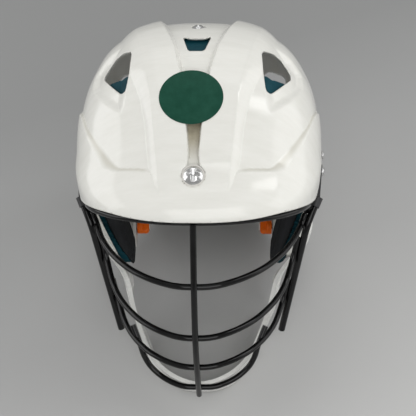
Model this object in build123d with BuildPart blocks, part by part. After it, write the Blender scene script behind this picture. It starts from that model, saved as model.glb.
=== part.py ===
from build123d import *
from math import cos, radians, sin, tan
import os

# Lacrosse helmet: moulded shell, wire face mask, chin guard, liner pads and a sliding rear cradle.
# +Z is up, -Y is the front, and the helmet lies on Z = 0 as it rests on a table.
# Lengths are in millimetres. A value or table of shares is multiplied by the size that it follows.

# Shell
shell_half_width = 109
crown_radius = 108
widest_height = 178
face_reach = 174
shell_wall = 3.5
width_power = 2.5
sight_angle = 48
panel_depth = 2.5
scoop_depth = 4
ridge_height = 4
channel_sink = 2
ridge_step = 1

# Clearances and cuts
clearance = 0.3
running_clearance = 0.05
overrun = 80
panel_back = 20

# Mask wires
wire_radius = 2.6
side_wire_radius = 3.2
weld_depth = 0.5
side_top_across = 105.7
side_top_ahead = 49
side_top_height = 161.5
side_knee_across = 96
side_knee_ahead = 68
side_knee_height = 149
side_foot_across = 77
side_foot_ahead = 102
side_foot_height = 34
eye_reach = 158
nose_reach = face_reach
mouth_reach = face_reach
chin_reach = 169
eye_height = 174
nose_height = 125
mouth_height = 80
bow_slope = 0.268
lap_length = 20
centre_tail = 6

# Chin guard
guard_wall = 4
guard_gap = 1.2
guard_bow = 1.3
guard_steps = 30
guard_height = 37
jaw_half_width = 84

# Liner
liner_gap = 0.5
liner_depth = 14
foam_depth = 7
jaw_backing_depth = 5
jaw_room = 69
pad_round = 5

# Fasteners
screw_radius = 2.5
front_head_radius = 8.8
front_head_rise = 4.2
head_radius = 5.5
head_rise = 3
washer_radius = 9
washer_thickness = 1
small_head_radius = 4.5
seat_depth = 0.8
nut_radius = 7
nut_thickness = 2
stud_radius = 5.5
stud_height = 4.5
recess_share = 0.24
tab_thickness = 2
tab_width = 18

# Size label
label_half_width = 25.5
label_half_height = 22.3
label_thickness = 0.4
label_offset = 2.5
label_rise = 31.5

# Rear cradle and its lock knobs
cradle_travel = 12
cradle_wall = 3
cradle_height = 26
cradle_pad_depth = 8
cradle_half_width = 73
cradle_rear_reach = 84
cradle_rise = 41
knob_radius = 8
knob_thickness = 12
knob_gap = 1
pin_radius = 3
pin_ahead = -22
pin_height = 41
boss_radius = 6.5

# Side outline of the shell about its widest point: angle up from straight ahead, share of crown radius
profile_shares = [
    (-90, 1.99), (-65, 1.39), (-46, 1.075), (-25, 0.972), (-10, 1.10), (0, 1.24), (12, 1.287), (20, 1.324),
    (32, 1.148), (45, 1.046), (60, 1.009), (90, 1.0), (120, 1.0185), (150, 1.065), (180, 1.111), (207, 1.24),
    (224, 1.45), (237, 1.70), (252, 1.93),
]
station_shares = [-0.9962, -0.965, -0.88, -0.74, -0.55, -0.3, 0, 0.3, 0.55, 0.74, 0.88, 0.965, 0.9962]

# Edge of the shell in side view, from the brim's tip back to the nape: shares of face reach and widest height
brim_tip_share = (0.77, 1.283)
brim_edge_shares = [(0.672, 1.238), (0.575, 1.165), (0.483, 1.087)]
brim_corner_share = (0.368, 0.997)
flap_edge_shares = [
    (0.31, 0.95), (0.30, 0.80), (0.305, 0.62), (0.275, 0.45), (0.20, 0.335), (0.05, 0.27), (-0.12, 0.16),
    (-0.29, 0.05), (-0.42, 0),
]

# Outlines seen along the sight line: shares of the shell's half width across and up
panel_shares = [
    (1.08, 0.32), (0.917, 0.24), (0.821, 0.028), (0.748, -0.05), (0.66, -0.142), (0.56, -0.216), (0.33, -0.234),
    (0.30, 0), (0.33, 0.4), (0.42, 0.8), (1.08, 0.8),
]
scoop_shares = [
    (0.835, 0.408), (0.798, 0.349), (0.693, 0.261), (0.615, 0.206), (0.55, 0.174), (0.518, 0.248), (0.49, 0.70),
    (0.56, 0.77), (0.734, 0.68), (0.835, 0.54),
]
side_vent_shares = [
    (0.495, 0.68), (0.578, 0.68), (0.656, 0.633), (0.725, 0.514), (0.725, 0.477), (0.633, 0.394), (0.56, 0.335),
    (0.523, 0.358), (0.505, 0.514),
]
rear_vent_shares = [(0.53, 0.46), (0.50, 0.66), (0.60, 0.73), (0.74, 0.66), (0.76, 0.52), (0.66, 0.42)]
centre_vent_shares = [(-0.11, 0.807), (0.11, 0.807), (0.064, 0.67), (-0.064, 0.67)]

# Raised band: angle, half widths of its top and foot as shares of the half width, share of its height
band_shares = [
    (23, 0.22, 0.25, -0.6), (31, 0.25, 0.31, 0.45), (38, 0.265, 0.335, 0.9), (52, 0.295, 0.36, 1),
    (66, 0.32, 0.405, 1), (78, 0.36, 0.475, 1), (90, 0.41, 0.56, 1), (104, 0.465, 0.63, 1), (120, 0.51, 0.68, 1),
    (138, 0.52, 0.69, 0.9), (156, 0.50, 0.64, 0.4), (170, 0.48, 0.58, -0.6),
]
# Channel along the band: angle, half widths of its floor and mouth as shares of the half width
channel_shares = [
    (37, 0.026, 0.036), (52, 0.045, 0.057), (64, 0.066, 0.082), (78, 0.092, 0.115), (92, 0.135, 0.17),
    (104, 0.185, 0.23), (118, 0.24, 0.29), (136, 0.285, 0.34), (156, 0.30, 0.355), (176, 0.30, 0.36),
]

# A bowed mask wire from its middle to its end: shares of its half width and of its setback
bow_shares = [(0.16, 0.02), (0.40, 0.125), (0.60, 0.27), (0.78, 0.48), (0.92, 0.74)]
# Brow wire: shares of the shell's half width, face reach and widest height
brow_shares = [
    (0.18, 0.738, 1.236), (0.42, 0.700, 1.212), (0.61, 0.640, 1.17), (0.765, 0.55, 1.107), (0.85, 0.455, 1.038),
    (0.887, 0.37, 0.962),
]
# Chin wire: shares of the shell's half width, chin reach and mouth bar height
chin_shares = [
    (0.13, 0.985, 0.45), (0.25, 0.95, 0.445), (0.34, 0.915, 0.465), (0.42, 0.88, 0.54), (0.468, 0.852, 0.675),
    (0.486, 0.834, 0.825), (0.55, 0.757, 0.975),
]
# Chin guard, from the chin back: top and foot edge, as shares of jaw half width, chin reach and guard height
guard_shares = [
    (0, 0.978, 1, 0, 0.895, 0.004), (0.30, 0.93, 1, 0.262, 0.872, 0.004),
    (0.548, 0.812, 1.03, 0.512, 0.76, 0.004), (0.702, 0.653, 1.16, 0.655, 0.582, 0.05),
    (0.815, 0.498, 1.40, 0.786, 0.452, 0.22), (0.905, 0.368, 1.78, 0.885, 0.335, 0.60),
]
# Guard's arms on the flap: shares of chin reach, then of widest height for the top and bottom edge
guard_arm_shares = [(0.26, 0.45, 0.215), (0.165, 0.472, 0.27), (0.047, 0.494, 0.326)]

# Liner pads: angle and share of the half width at the middle, shares of the half width across and along
liner_pads = {
    "front": (50, 0, 0.86, 0.38), "crown": (94, 0, 0.62, 0.70), "rear": (177, 0, 0.78, 0.90),
    "temple_right": (64, 0.73, 0.37, 0.58), "side_right": (198, 0.91, 0.48, 0.42),
}
# Jaw pad in side view: shares of face reach and widest height
jaw_pad_shares = [(0.06, 0.36), (0.138, 0.315), (0.23, 0.303), (0.264, 0.37), (0.265, 0.84), (0.06, 0.84)]

# Half of the rear cradle's plan: shares of its half width and rear reach
cradle_shares = [(1, -0.07), (1, -0.56), (0.85, -0.80), (0.52, -0.96), (0, -1)]

# Places on the shell for fasteners: shares of face reach and widest height
clip_screw_share = (0.11, 0.93)
upper_stud_share = (0.046, 0.983)
lower_stud_share = (-0.05, 0.56)
guard_screw_shares = [(0.19, 0.355), (0.09, 0.40)]
ear_share = (-0.09, 0.80)
ear_hole_radius = 8
ear_slot_length = 34
front_screw_angle = 33
top_screw_angle = 116

os.makedirs("parts", exist_ok=True)


def place(across, ahead, up):
    """Point from distances across, ahead of the head's axis and above the table."""
    return Vector(across, -ahead, up)


def save(piece, name):
    """Writes one piece, moved so that the whole helmet's box is centred on the origin."""
    moved = piece.moved(Location((0, centring, 0)))
    moved.label = name
    export_step(moved, "parts/" + name + ".step")


def narrowing(share):
    """Scale of the side outline at a share of the half width."""
    return (1 - abs(share) ** width_power) ** (1 / width_power)


def envelope(inset):
    """Closed form of the shell at a depth inside its outer face."""
    half = shell_half_width - inset
    with BuildPart() as form:
        for station in station_shares:
            scale = narrowing(station)
            points = []
            for angle, share in profile_shares:
                radius = (crown_radius * share - inset) * scale
                points.append((-radius * cos(radians(angle)), widest_height + radius * sin(radians(angle))))
            with BuildSketch(Plane.YZ.offset(half * station)):
                with BuildLine():
                    Spline(points, periodic=True)
                make_face()
        loft()
    return form.part


outer_form = envelope(0)
inner_form = envelope(shell_wall)
outer_skin = outer_form.shell()

middle = place(0, 0, widest_height)
sight_plane = Plane(
    origin=middle, x_dir=(1, 0, 0), z_dir=(0, -cos(radians(sight_angle)), sin(radians(sight_angle)))
)


def surface_plane(start, direction):
    """Plane on the shell's outer face where a line leaves it, with its normal outwards."""
    hits = outer_skin.find_intersection_points(Axis(start, direction))
    point = max((hit[0] for hit in hits), key=lambda hit: (hit - Vector(start)).dot(Vector(direction)))
    normal = [hit[1] for hit in hits if (hit[0] - point).length < clearance][0]
    if normal.dot(Vector(direction)) < 0:
        normal = -normal
    forward = Vector(0, -1, 0)
    if abs(normal.Y) > abs(normal.X):
        forward = Vector(1, 0, 0)
    return Plane(origin=point, x_dir=forward - normal * normal.dot(forward), z_dir=normal)


def side_plane(side, share):
    """Plane on the shell's side at shares of face reach and widest height."""
    return surface_plane(place(0, share[0] * face_reach, share[1] * widest_height), (side, 0, 0))


def crown_plane(angle):
    """Plane on the shell's middle line at an angle up from straight ahead."""
    return surface_plane(middle, (0, -cos(radians(angle)), sin(radians(angle))))


def crown_section(angle):
    """Plane through the widest axis at an angle, and the shell's radius there."""
    radius = (crown_plane(angle).origin - middle).length
    plane = Plane(origin=middle, x_dir=(1, 0, 0), z_dir=(0, -sin(radians(angle)), -cos(radians(angle))))
    return plane, radius


def sight_points(shares, side):
    """Points of an outline seen along the sight line, on one side of the middle."""
    return [(side * across * shell_half_width, up * shell_half_width) for across, up in shares]


def sight_prism(shares, near, far, grow, sides=(1,)):
    """Prism along the sight line over an outline, between two distances from the middle."""
    with BuildPart() as prism:
        with BuildSketch(sight_plane.offset(near)) as outline:
            for side in sides:
                with BuildLine():
                    Polyline(sight_points(shares, side), close=True)
                make_face()
            if grow:
                offset(amount=grow, kind=Kind.INTERSECTION)
        extrude(amount=far - near)
    return prism.part


def band(inset):
    """Raised band over the crown, with its channel, at a depth inside the outer face."""
    with BuildPart() as strip:
        for angle, top_share, foot_share, rise_share in band_shares:
            plane, radius = crown_section(angle)
            top = top_share * shell_half_width - inset
            foot = foot_share * shell_half_width - inset
            rise = ridge_height * rise_share - inset
            top_level = radius * narrowing(top_share) + rise
            foot_level = min(radius * narrowing(foot_share) - panel_depth - inset, top_level - ridge_step)
            base_level = foot_level - 2 * shell_wall
            with BuildSketch(plane):
                with BuildLine():
                    ThreePointArc((-top, top_level), (0, radius + rise), (top, top_level))
                    Polyline(
                        (top, top_level), (foot, foot_level), (foot, base_level), (-foot, base_level),
                        (-foot, foot_level), (-top, top_level),
                    )
                make_face()
        loft()
    with BuildPart() as channel:
        for angle, floor_share, mouth_share in channel_shares:
            plane, radius = crown_section(angle)
            floor = floor_share * shell_half_width + inset
            mouth = mouth_share * shell_half_width + inset
            floor_level = radius - channel_sink - inset
            mouth_level = radius + ridge_height + shell_wall
            with BuildSketch(plane):
                with BuildLine():
                    Polyline(
                        (-floor, floor_level), (floor, floor_level), (mouth, mouth_level),
                        (-mouth, mouth_level), close=True,
                    )
                make_face()
        loft()
    return strip.part, channel.part


def recess(shares, inset, depth, side):
    """Body to take away where the shell's face is recessed by a depth, on one side."""
    with BuildPart() as cutter:
        add(sight_prism(shares, -panel_back, 2 * shell_half_width, inset, sides=(side,)))
        add(envelope(inset + depth), mode=Mode.SUBTRACT)
    return cutter.part


def moulding(form, inset):
    """Solid inside the face that lies a depth inside the shell's outer face."""
    strip, channel = band(inset)
    with BuildPart() as solid:
        add(form)
        for side in (1, -1):
            add(recess(panel_shares, inset, panel_depth, side), mode=Mode.SUBTRACT)
        add(strip)
        add(channel, mode=Mode.SUBTRACT)
        for side in (1, -1):
            add(recess(scoop_shares, inset, scoop_depth, side), mode=Mode.SUBTRACT)
    return solid.part


def side_outline_cut():
    """Prism across the helmet that takes away the face opening and all below the shell's edge."""
    tip = (brim_tip_share[0] * face_reach, brim_tip_share[1] * widest_height)
    edge = [(ahead * face_reach, up * widest_height) for ahead, up in brim_edge_shares]
    corner = (brim_corner_share[0] * face_reach, brim_corner_share[1] * widest_height)
    flap = [(ahead * face_reach, up * widest_height) for ahead, up in flap_edge_shares]
    brim = [(tip[0] + overrun, tip[1] + overrun / 3), tip, *edge, corner, *flap]
    brim += [(-2 * face_reach, 0), (-2 * face_reach, -overrun), (tip[0] + overrun, -overrun)]
    with BuildPart() as cut:
        with BuildSketch(Plane.YZ):
            with BuildLine():
                Polyline([(-ahead, up) for ahead, up in brim], close=True)
            make_face()
        extrude(amount=shell_half_width + overrun, both=True)
    return cut.part


def cylinder_on(plane, radius, low, high):
    """Cylinder along a plane's normal between two heights above it."""
    with BuildPart() as rod:
        with BuildSketch(plane.offset(low)):
            Circle(radius)
        extrude(amount=high - low)
    return rod.part


def dome_screw(plane, head, rise, shank, length):
    """Dome-head screw with a cross recess, its head's seat on the plane."""
    with BuildPart() as screw:
        add(cylinder_on(plane, shank, -length, 0))
        with BuildSketch(Plane(origin=plane.origin, x_dir=plane.x_dir, z_dir=plane.y_dir)):
            with BuildLine():
                Line((0, 0), (head, 0))
                Line((head, 0), (head, -rise / 4))
                ThreePointArc((head, -rise / 4), (head * 0.6, -rise * 0.8), (0, -rise))
                Line((0, -rise), (0, 0))
            make_face()
        revolve(axis=Axis(plane.origin, plane.z_dir))
        with BuildSketch(plane.offset(rise * 0.4)):
            Rectangle(head * 1.5, head * recess_share)
            Rectangle(head * recess_share, head * 1.5)
        extrude(amount=rise, mode=Mode.SUBTRACT)
    return screw.part


def snap_stud(plane):
    """Rounded snap stud with a waist, standing on the plane."""
    with BuildPart() as stud:
        with BuildSketch(Plane(origin=plane.origin, x_dir=plane.x_dir, z_dir=plane.y_dir)):
            with BuildLine():
                Polyline(
                    (0, 0), (stud_radius, 0), (stud_radius, -stud_height * 0.2),
                    (stud_radius * 0.55, -stud_height * 0.35), (stud_radius * 0.55, -stud_height * 0.5),
                )
                ThreePointArc(
                    (stud_radius * 0.55, -stud_height * 0.5), (stud_radius * 0.7, -stud_height * 0.75),
                    (stud_radius * 0.45, -stud_height),
                )
                Polyline((stud_radius * 0.45, -stud_height), (0, -stud_height), (0, 0))
            make_face()
        revolve(axis=Axis(plane.origin, plane.z_dir))
        add(cylinder_on(plane, screw_radius, -shell_wall - seat_depth, 0))
    return stud.part


def group(pieces):
    """Several separate solids in one node."""
    with BuildPart() as together:
        for piece in pieces:
            add(piece)
    return together.part


def mirrored(piece):
    """The piece's twin on the other side."""
    return mirror(piece, about=Plane.YZ)


def bend_radii(points):
    """Radius of each bend of a wire, as large as its two runs allow."""
    radii = []
    for before, corner, after in zip(points, points[1:], points[2:]):
        turn = radians((corner - before).get_angle(after - corner))
        run = min((corner - before).length, (after - corner).length)
        radii.append(0.45 * run / tan(turn / 2))
    return radii


def bent_wire(points, radius=wire_radius):
    """Round wire through straight runs joined by arcs."""
    with BuildPart() as wire:
        with BuildLine() as path:
            FilletPolyline(*points, radius=bend_radii(points))
        with BuildSketch(Plane(origin=path.line @ 0, z_dir=path.line % 0)):
            Circle(radius)
        sweep()
    return wire.part


def both_sides(half):
    """Points of a symmetrical wire from the points of its right half, its middle first."""
    return [Vector(-p.X, p.Y, p.Z) for p in reversed(half)] + half


# Mask wires
side_top = place(side_top_across, side_top_ahead, side_top_height)
side_knee = place(side_knee_across, side_knee_ahead, side_knee_height)
side_foot = place(side_foot_across, side_foot_ahead, side_foot_height)
pitch = wire_radius + side_wire_radius - weld_depth
mid_pitch = 2 * wire_radius - weld_depth


def side_at(height):
    """Point on the line of the right side bar's lower run."""
    share = (side_knee.Z - height) / (side_knee.Z - side_foot.Z)
    return side_knee + (side_foot - side_knee) * share


def bow_route(reach, height, join_height, lap):
    """Right half of a bowed bar whose end runs up along the side bar."""
    seat = side_at(join_height) - Vector(pitch, 0, 0)
    setback = reach + seat.Y
    half = []
    for across_share, back_share in bow_shares:
        back = back_share * setback
        half.append(place(across_share * seat.X, reach - back, height - bow_slope * back))
    half.append(side_at(join_height + lap / 2) - Vector(pitch, 0, 0))
    half.append(side_at(join_height + lap * 1.5) - Vector(pitch, 0, 0))
    return half


brow_route = [
    place(across * shell_half_width, ahead * face_reach, up * widest_height)
    for across, ahead, up in brow_shares
]
chin_route = [
    place(across * shell_half_width, ahead * chin_reach, up * mouth_height)
    for across, ahead, up in chin_shares
]
inside_knee = side_knee - Vector(pitch, 0, 0)
eye_route = bow_route(eye_reach, eye_height, side_knee_height, 0)[:-2]
eye_route += [inside_knee, inside_knee + (side_top - side_knee) * 0.4]
brow_route.append(inside_knee + (side_top - side_knee) * 0.45 + Vector(0, 0, 0.7 * wire_radius))
nose_route = bow_route(nose_reach, nose_height, nose_height - lap_length, lap_length)
mouth_route = bow_route(mouth_reach, mouth_height, mouth_height - lap_length, lap_length)
routes = [brow_route, eye_route, nose_route, mouth_route, chin_route]
brow_bar, eye_bar, nose_bar, mouth_bar, chin_bar = [bent_wire(both_sides(route)) for route in routes]
side_bar_right = bent_wire([side_top, side_knee, side_foot], side_wire_radius)

bar_middles = [Vector(0, route[0].Y, route[0].Z) for route in routes]
centre_route = []
for before, point, after in zip(bar_middles[:1] + bar_middles, bar_middles, bar_middles[1:] + bar_middles[-1:]):
    along = (after - before).normalized()
    centre_route.append(point + Vector(0, along.Z, -along.Y) * mid_pitch)
last_run = (centre_route[-1] - centre_route[-2]).normalized()
centre_route[-1] = centre_route[-1] + last_run * centre_tail
centre_bar = bent_wire(centre_route)

# The helmet's box runs from the centre bar to the back of the shell
front_edge = centre_bar.bounding_box().min.Y
rear_edge = outer_form.bounding_box().max.Y
centring = -(front_edge + rear_edge) / 2

# Places of the fasteners
outline_cut = side_outline_cut()
front_surface = crown_plane(front_screw_angle)
front_seat = front_surface.offset(ridge_height * 0.35)
tab_drop = shell_wall - ridge_height * 0.2
top_seat = crown_plane(top_screw_angle).offset(-channel_sink - seat_depth / 2)
top_inside = top_seat.offset(-shell_wall + seat_depth)
clip_seat = side_plane(1, clip_screw_share)
stud_seats = [side_plane(1, share).offset(-seat_depth) for share in (upper_stud_share, lower_stud_share)]
guard_seats = [side_plane(1, share) for share in guard_screw_shares]
ear_seat = side_plane(1, ear_share)
pin_side = side_plane(1, (pin_ahead / face_reach, pin_height / widest_height)).origin.X
pin_axis = Plane(origin=place(0, pin_ahead, pin_height), x_dir=(0, -1, 0), z_dir=(1, 0, 0))
pin_seat = pin_axis.offset(pin_side - seat_depth)
nut_inset = shell_wall - seat_depth
guard_head = guard_gap + guard_wall - seat_depth


# Shell
with BuildPart() as shell:
    add(moulding(outer_form, 0))
    add(moulding(inner_form, shell_wall), mode=Mode.SUBTRACT)
    add(outline_cut, mode=Mode.SUBTRACT)
    add(sight_prism(side_vent_shares, 0, 2 * shell_half_width, 0, sides=(1, -1)), mode=Mode.SUBTRACT)
    add(sight_prism(rear_vent_shares, -2 * shell_half_width, 0, 0, sides=(1, -1)), mode=Mode.SUBTRACT)
    add(sight_prism(centre_vent_shares, 0, 2 * shell_half_width, 0), mode=Mode.SUBTRACT)
    add(cylinder_on(front_surface, washer_radius, -tab_drop, 0))
    add(cylinder_on(front_seat, washer_radius + clearance, 0, overrun), mode=Mode.SUBTRACT)
    add(cylinder_on(front_seat, screw_radius + clearance, -overrun / 2, overrun), mode=Mode.SUBTRACT)
    add(cylinder_on(top_seat, head_radius + clearance, 0, overrun), mode=Mode.SUBTRACT)
    add(cylinder_on(top_seat, screw_radius + clearance, -overrun / 2, overrun), mode=Mode.SUBTRACT)
    add(cylinder_on(top_inside, nut_radius + clearance, -overrun / 2, 0), mode=Mode.SUBTRACT)
    cuts = [cylinder_on(seat, screw_radius + clearance, -overrun / 4, overrun / 4) for seat in guard_seats]
    cuts += [cylinder_on(seat, nut_radius + clearance, -overrun / 4, -nut_inset) for seat in guard_seats]
    cuts += [cylinder_on(seat, screw_radius + clearance, -overrun / 4, overrun / 4) for seat in stud_seats]
    cuts += [cylinder_on(seat, stud_radius + clearance, 0, overrun) for seat in stud_seats]
    cuts.append(cylinder_on(clip_seat, screw_radius + clearance, -overrun / 4, overrun / 4))
    cuts.append(cylinder_on(clip_seat, nut_radius + clearance, -overrun / 4, -nut_inset))
    cuts.append(cylinder_on(pin_seat, pin_radius + clearance, -overrun / 4, overrun / 4))
    cuts.append(cylinder_on(pin_seat, small_head_radius + clearance, 0, overrun))
    with BuildPart(mode=Mode.PRIVATE) as ear_hole:
        with BuildSketch(ear_seat.offset(-overrun / 4)):
            SlotOverall(ear_slot_length, 2 * ear_hole_radius, rotation=90)
        extrude(amount=overrun / 2)
    cuts.append(ear_hole.part)
    for cut in cuts:
        add(cut, mode=Mode.SUBTRACT)
        add(mirrored(cut), mode=Mode.SUBTRACT)

# Chin guard: its outer edges from the chin back to the ends of its arms on the flaps
upper_half = []
lower_half = []
for top_x, top_y, top_z, foot_x, foot_y, foot_z in guard_shares:
    upper_half.append(place(top_x * jaw_half_width, top_y * chin_reach, top_z * guard_height))
    lower_half.append(place(foot_x * jaw_half_width, foot_y * chin_reach, foot_z * guard_height))
for ahead_share, top_share, foot_share in guard_arm_shares:
    top_spot = side_plane(1, (ahead_share * chin_reach / face_reach, top_share))
    foot_spot = side_plane(1, (ahead_share * chin_reach / face_reach, foot_share))
    away = Vector(top_spot.z_dir.X, top_spot.z_dir.Y, 0).normalized() * (guard_gap + guard_wall)
    upper_half.append(top_spot.origin + away)
    lower_half.append(foot_spot.origin + away)

upper_line = Spline(both_sides(upper_half[1:])[:len(upper_half) - 1] + upper_half)
lower_line = Spline(both_sides(lower_half[1:])[:len(lower_half) - 1] + lower_half)

with BuildPart() as chin_guard:
    for index in range(guard_steps + 1):
        upper = upper_line @ (index / guard_steps)
        drop = lower_line @ (index / guard_steps) - upper
        inward = Vector(0, 0, 1).cross(upper_line % (index / guard_steps)).normalized()
        lean = drop.dot(inward)
        down = drop - inward * lean
        with BuildSketch(Plane(origin=upper, x_dir=inward, z_dir=inward.cross(down))):
            with BuildLine():
                Line((0, 0), (guard_wall, 0))
                ThreePointArc(
                    (guard_wall, 0), (guard_wall + lean / 2 - guard_bow, down.length / 2),
                    (guard_wall + lean, down.length),
                )
                Line((guard_wall + lean, down.length), (lean, down.length))
                ThreePointArc((lean, down.length), (lean / 2 - guard_bow, down.length / 2), (0, 0))
            make_face()
    loft()
    for seat in guard_seats:
        head_seat = seat.offset(guard_head)
        for cut in (
            cylinder_on(head_seat, small_head_radius + clearance, 0, overrun),
            cylinder_on(head_seat, screw_radius + clearance, -overrun / 4, overrun),
        ):
            add(cut, mode=Mode.SUBTRACT)
            add(mirrored(cut), mode=Mode.SUBTRACT)

# Steel tab that holds the brow wire under the front screw
tab_middle = front_surface.origin - front_surface.z_dir * (tab_drop + tab_thickness / 2)
tab_points = [
    tab_middle + front_surface.y_dir * washer_radius, tab_middle - front_surface.y_dir * washer_radius,
    bar_middles[0] + Vector(0, 0.8 * wire_radius, -0.8 * wire_radius),
]
with BuildPart() as brow_tab:
    with BuildSketch(Plane.YZ):
        with BuildLine():
            Polyline([(point.Y, point.Z) for point in tab_points])
        trace(line_width=tab_thickness)
    extrude(amount=tab_width / 2, both=True)
    add(cylinder_on(front_seat, screw_radius + clearance, -overrun, overrun), mode=Mode.SUBTRACT)


def nut(plane):
    """Hexagonal nut hanging from a plane, bored for the screw."""
    with BuildPart() as body:
        with BuildSketch(plane.offset(-nut_thickness)):
            RegularPolygon(nut_radius, 6)
            Circle(screw_radius + running_clearance, mode=Mode.SUBTRACT)
        extrude(amount=nut_thickness)
    return body.part


with BuildPart() as front_washer:
    with BuildSketch(front_seat):
        Circle(washer_radius)
        Circle(screw_radius + running_clearance, mode=Mode.SUBTRACT)
    extrude(amount=washer_thickness)

nut_face = front_surface.offset(-tab_drop - tab_thickness)
front_length = ridge_height * 0.35 + washer_thickness + tab_drop + tab_thickness + nut_thickness
front_screw = dome_screw(
    front_seat.offset(washer_thickness), front_head_radius, front_head_rise, screw_radius, front_length
)
brow_nut = nut(nut_face)
top_length = shell_wall - seat_depth + nut_thickness
top_screw = dome_screw(top_seat, head_radius, head_rise, screw_radius, top_length)
top_nut = nut(top_inside)

guard_shank = guard_head + nut_inset + nut_thickness
guard_screw_pieces = [
    dome_screw(seat.offset(guard_head), small_head_radius, head_rise, screw_radius, guard_shank)
    for seat in guard_seats
]
guard_nut_pieces = [nut(seat.offset(-nut_inset)) for seat in guard_seats]

# Clip that holds the side bar's top end on the shell
clip_level = clearance + tab_thickness
bar_run = (side_top - side_knee).normalized()
sleeve_plane = Plane(origin=side_top, z_dir=bar_run)
with BuildPart() as side_clip:
    with BuildSketch(clip_seat):
        Circle(small_head_radius + tab_thickness)
        toe = clip_seat.to_local_coords(side_top)
        with BuildLine():
            Polyline(
                (0, small_head_radius + tab_thickness), (toe.X, toe.Y + side_wire_radius),
                (toe.X, toe.Y - side_wire_radius), (0, -small_head_radius - tab_thickness), close=True,
            )
        make_face()
    extrude(amount=clip_level)
    add(cylinder_on(sleeve_plane, side_wire_radius + tab_thickness / 2, -lap_length * 0.4, tab_thickness / 2))
    add(cylinder_on(sleeve_plane, side_wire_radius + running_clearance, -overrun, 0), mode=Mode.SUBTRACT)
    add(envelope(-clearance), mode=Mode.SUBTRACT)
    add(cylinder_on(clip_seat, screw_radius + clearance, -overrun / 4, overrun), mode=Mode.SUBTRACT)

clip_shank = clip_level + nut_inset + nut_thickness
clip_screw = dome_screw(clip_seat.offset(clip_level), small_head_radius, head_rise, screw_radius, clip_shank)
clip_nut = nut(clip_seat.offset(-nut_inset))
snap_stud_pieces = [snap_stud(seat) for seat in stud_seats]

# Liner: firm blocks against the shell, softer comfort foam on the head side
liner_form = moulding(envelope(shell_wall + liner_gap), shell_wall + liner_gap)
middle_form = envelope(shell_wall + liner_gap + liner_depth)
foam_start = shell_wall + liner_gap + liner_depth + clearance
foam_form = envelope(foam_start)
head_form = envelope(foam_start + foam_depth)


def pad_block(angle, lean_share, across_share, along_share, shrink):
    """Rounded block that runs outwards from the middle of the head over one pad."""
    lean = lean_share * shell_half_width
    rise = crown_radius * narrowing(lean_share)
    heading = Vector(lean, -rise * cos(radians(angle)), rise * sin(radians(angle)))
    across = Vector(1, 0, 0) - heading * (heading.X / heading.length ** 2)
    with BuildPart() as block:
        with BuildSketch(Plane(origin=middle, x_dir=across, z_dir=heading)):
            RectangleRounded(
                across_share * shell_half_width - shrink, along_share * shell_half_width - shrink, pad_round
            )
        extrude(amount=2 * shell_half_width)
    return block.part


def layer(block, outer, inner):
    """The part of a block between two forms."""
    with BuildPart() as body:
        add(block)
        add(outer, mode=Mode.INTERSECT)
        add(inner, mode=Mode.SUBTRACT)
    return body.part


screw_room = cylinder_on(top_inside, nut_radius + 2 * clearance, -2 * nut_thickness, 0)
liner_pieces = {}
for name, (angle, lean_share, across_share, along_share) in liner_pads.items():
    block = pad_block(angle, lean_share, across_share, along_share, 0)
    core = pad_block(angle, lean_share, across_share, along_share, 2 * foam_depth / 3)
    liner_pieces["liner_" + name] = layer(block, liner_form, middle_form)
    liner_pieces["comfort_" + name] = layer(core, foam_form, head_form)
with BuildPart() as crown_liner:
    add(liner_pieces["liner_crown"])
    add(screw_room, mode=Mode.SUBTRACT)
liner_pieces["liner_crown"] = crown_liner.part

# Jaw pads inside the flaps, each with an upright inner face at the jaw room from the middle
jaw_start = shell_wall + liner_gap
with BuildPart() as jaw_backing:
    with BuildSketch(Plane.YZ) as jaw_outline:
        with BuildLine():
            Polyline([(-ahead * face_reach, up * widest_height) for ahead, up in jaw_pad_shares], close=True)
        make_face()
        fillet(jaw_outline.vertices(), pad_round)
    extrude(amount=shell_half_width)
    add(envelope(jaw_start), mode=Mode.INTERSECT)
    add(envelope(jaw_start + jaw_backing_depth), mode=Mode.SUBTRACT)
    for seat in guard_seats:
        add(cylinder_on(seat, nut_radius + 2 * clearance, -overrun / 4, overrun / 4), mode=Mode.SUBTRACT)

with BuildPart() as jaw_pad:
    with BuildSketch(Plane.YZ.offset(jaw_room)):
        add(jaw_outline.sketch_local)
        offset(amount=-jaw_start / 2)
    extrude(amount=shell_half_width - jaw_room)
    add(envelope(jaw_start + jaw_backing_depth + clearance), mode=Mode.INTERSECT)

# Rear cradle
cradle_floor = cradle_rise - cradle_height / 2
cradle_tip = -cradle_shares[0][1] * cradle_rear_reach


def cradle_plan(inset):
    """Closed plan of the cradle's inside, at a distance in from its middle line."""
    half = [place(across * cradle_half_width, ahead * cradle_rear_reach, 0) for across, ahead in cradle_shares]
    with BuildSketch(Plane.XY.offset(cradle_floor)) as plan:
        with BuildLine():
            Polyline([(-p.X, p.Y) for p in half] + [(p.X, p.Y) for p in half[-2::-1]], close=True)
        make_face()
        fillet(plan.vertices().sort_by(Axis.Y)[2:], cradle_wall * 6)
        offset(amount=-inset)
    return plan.sketch_local


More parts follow.
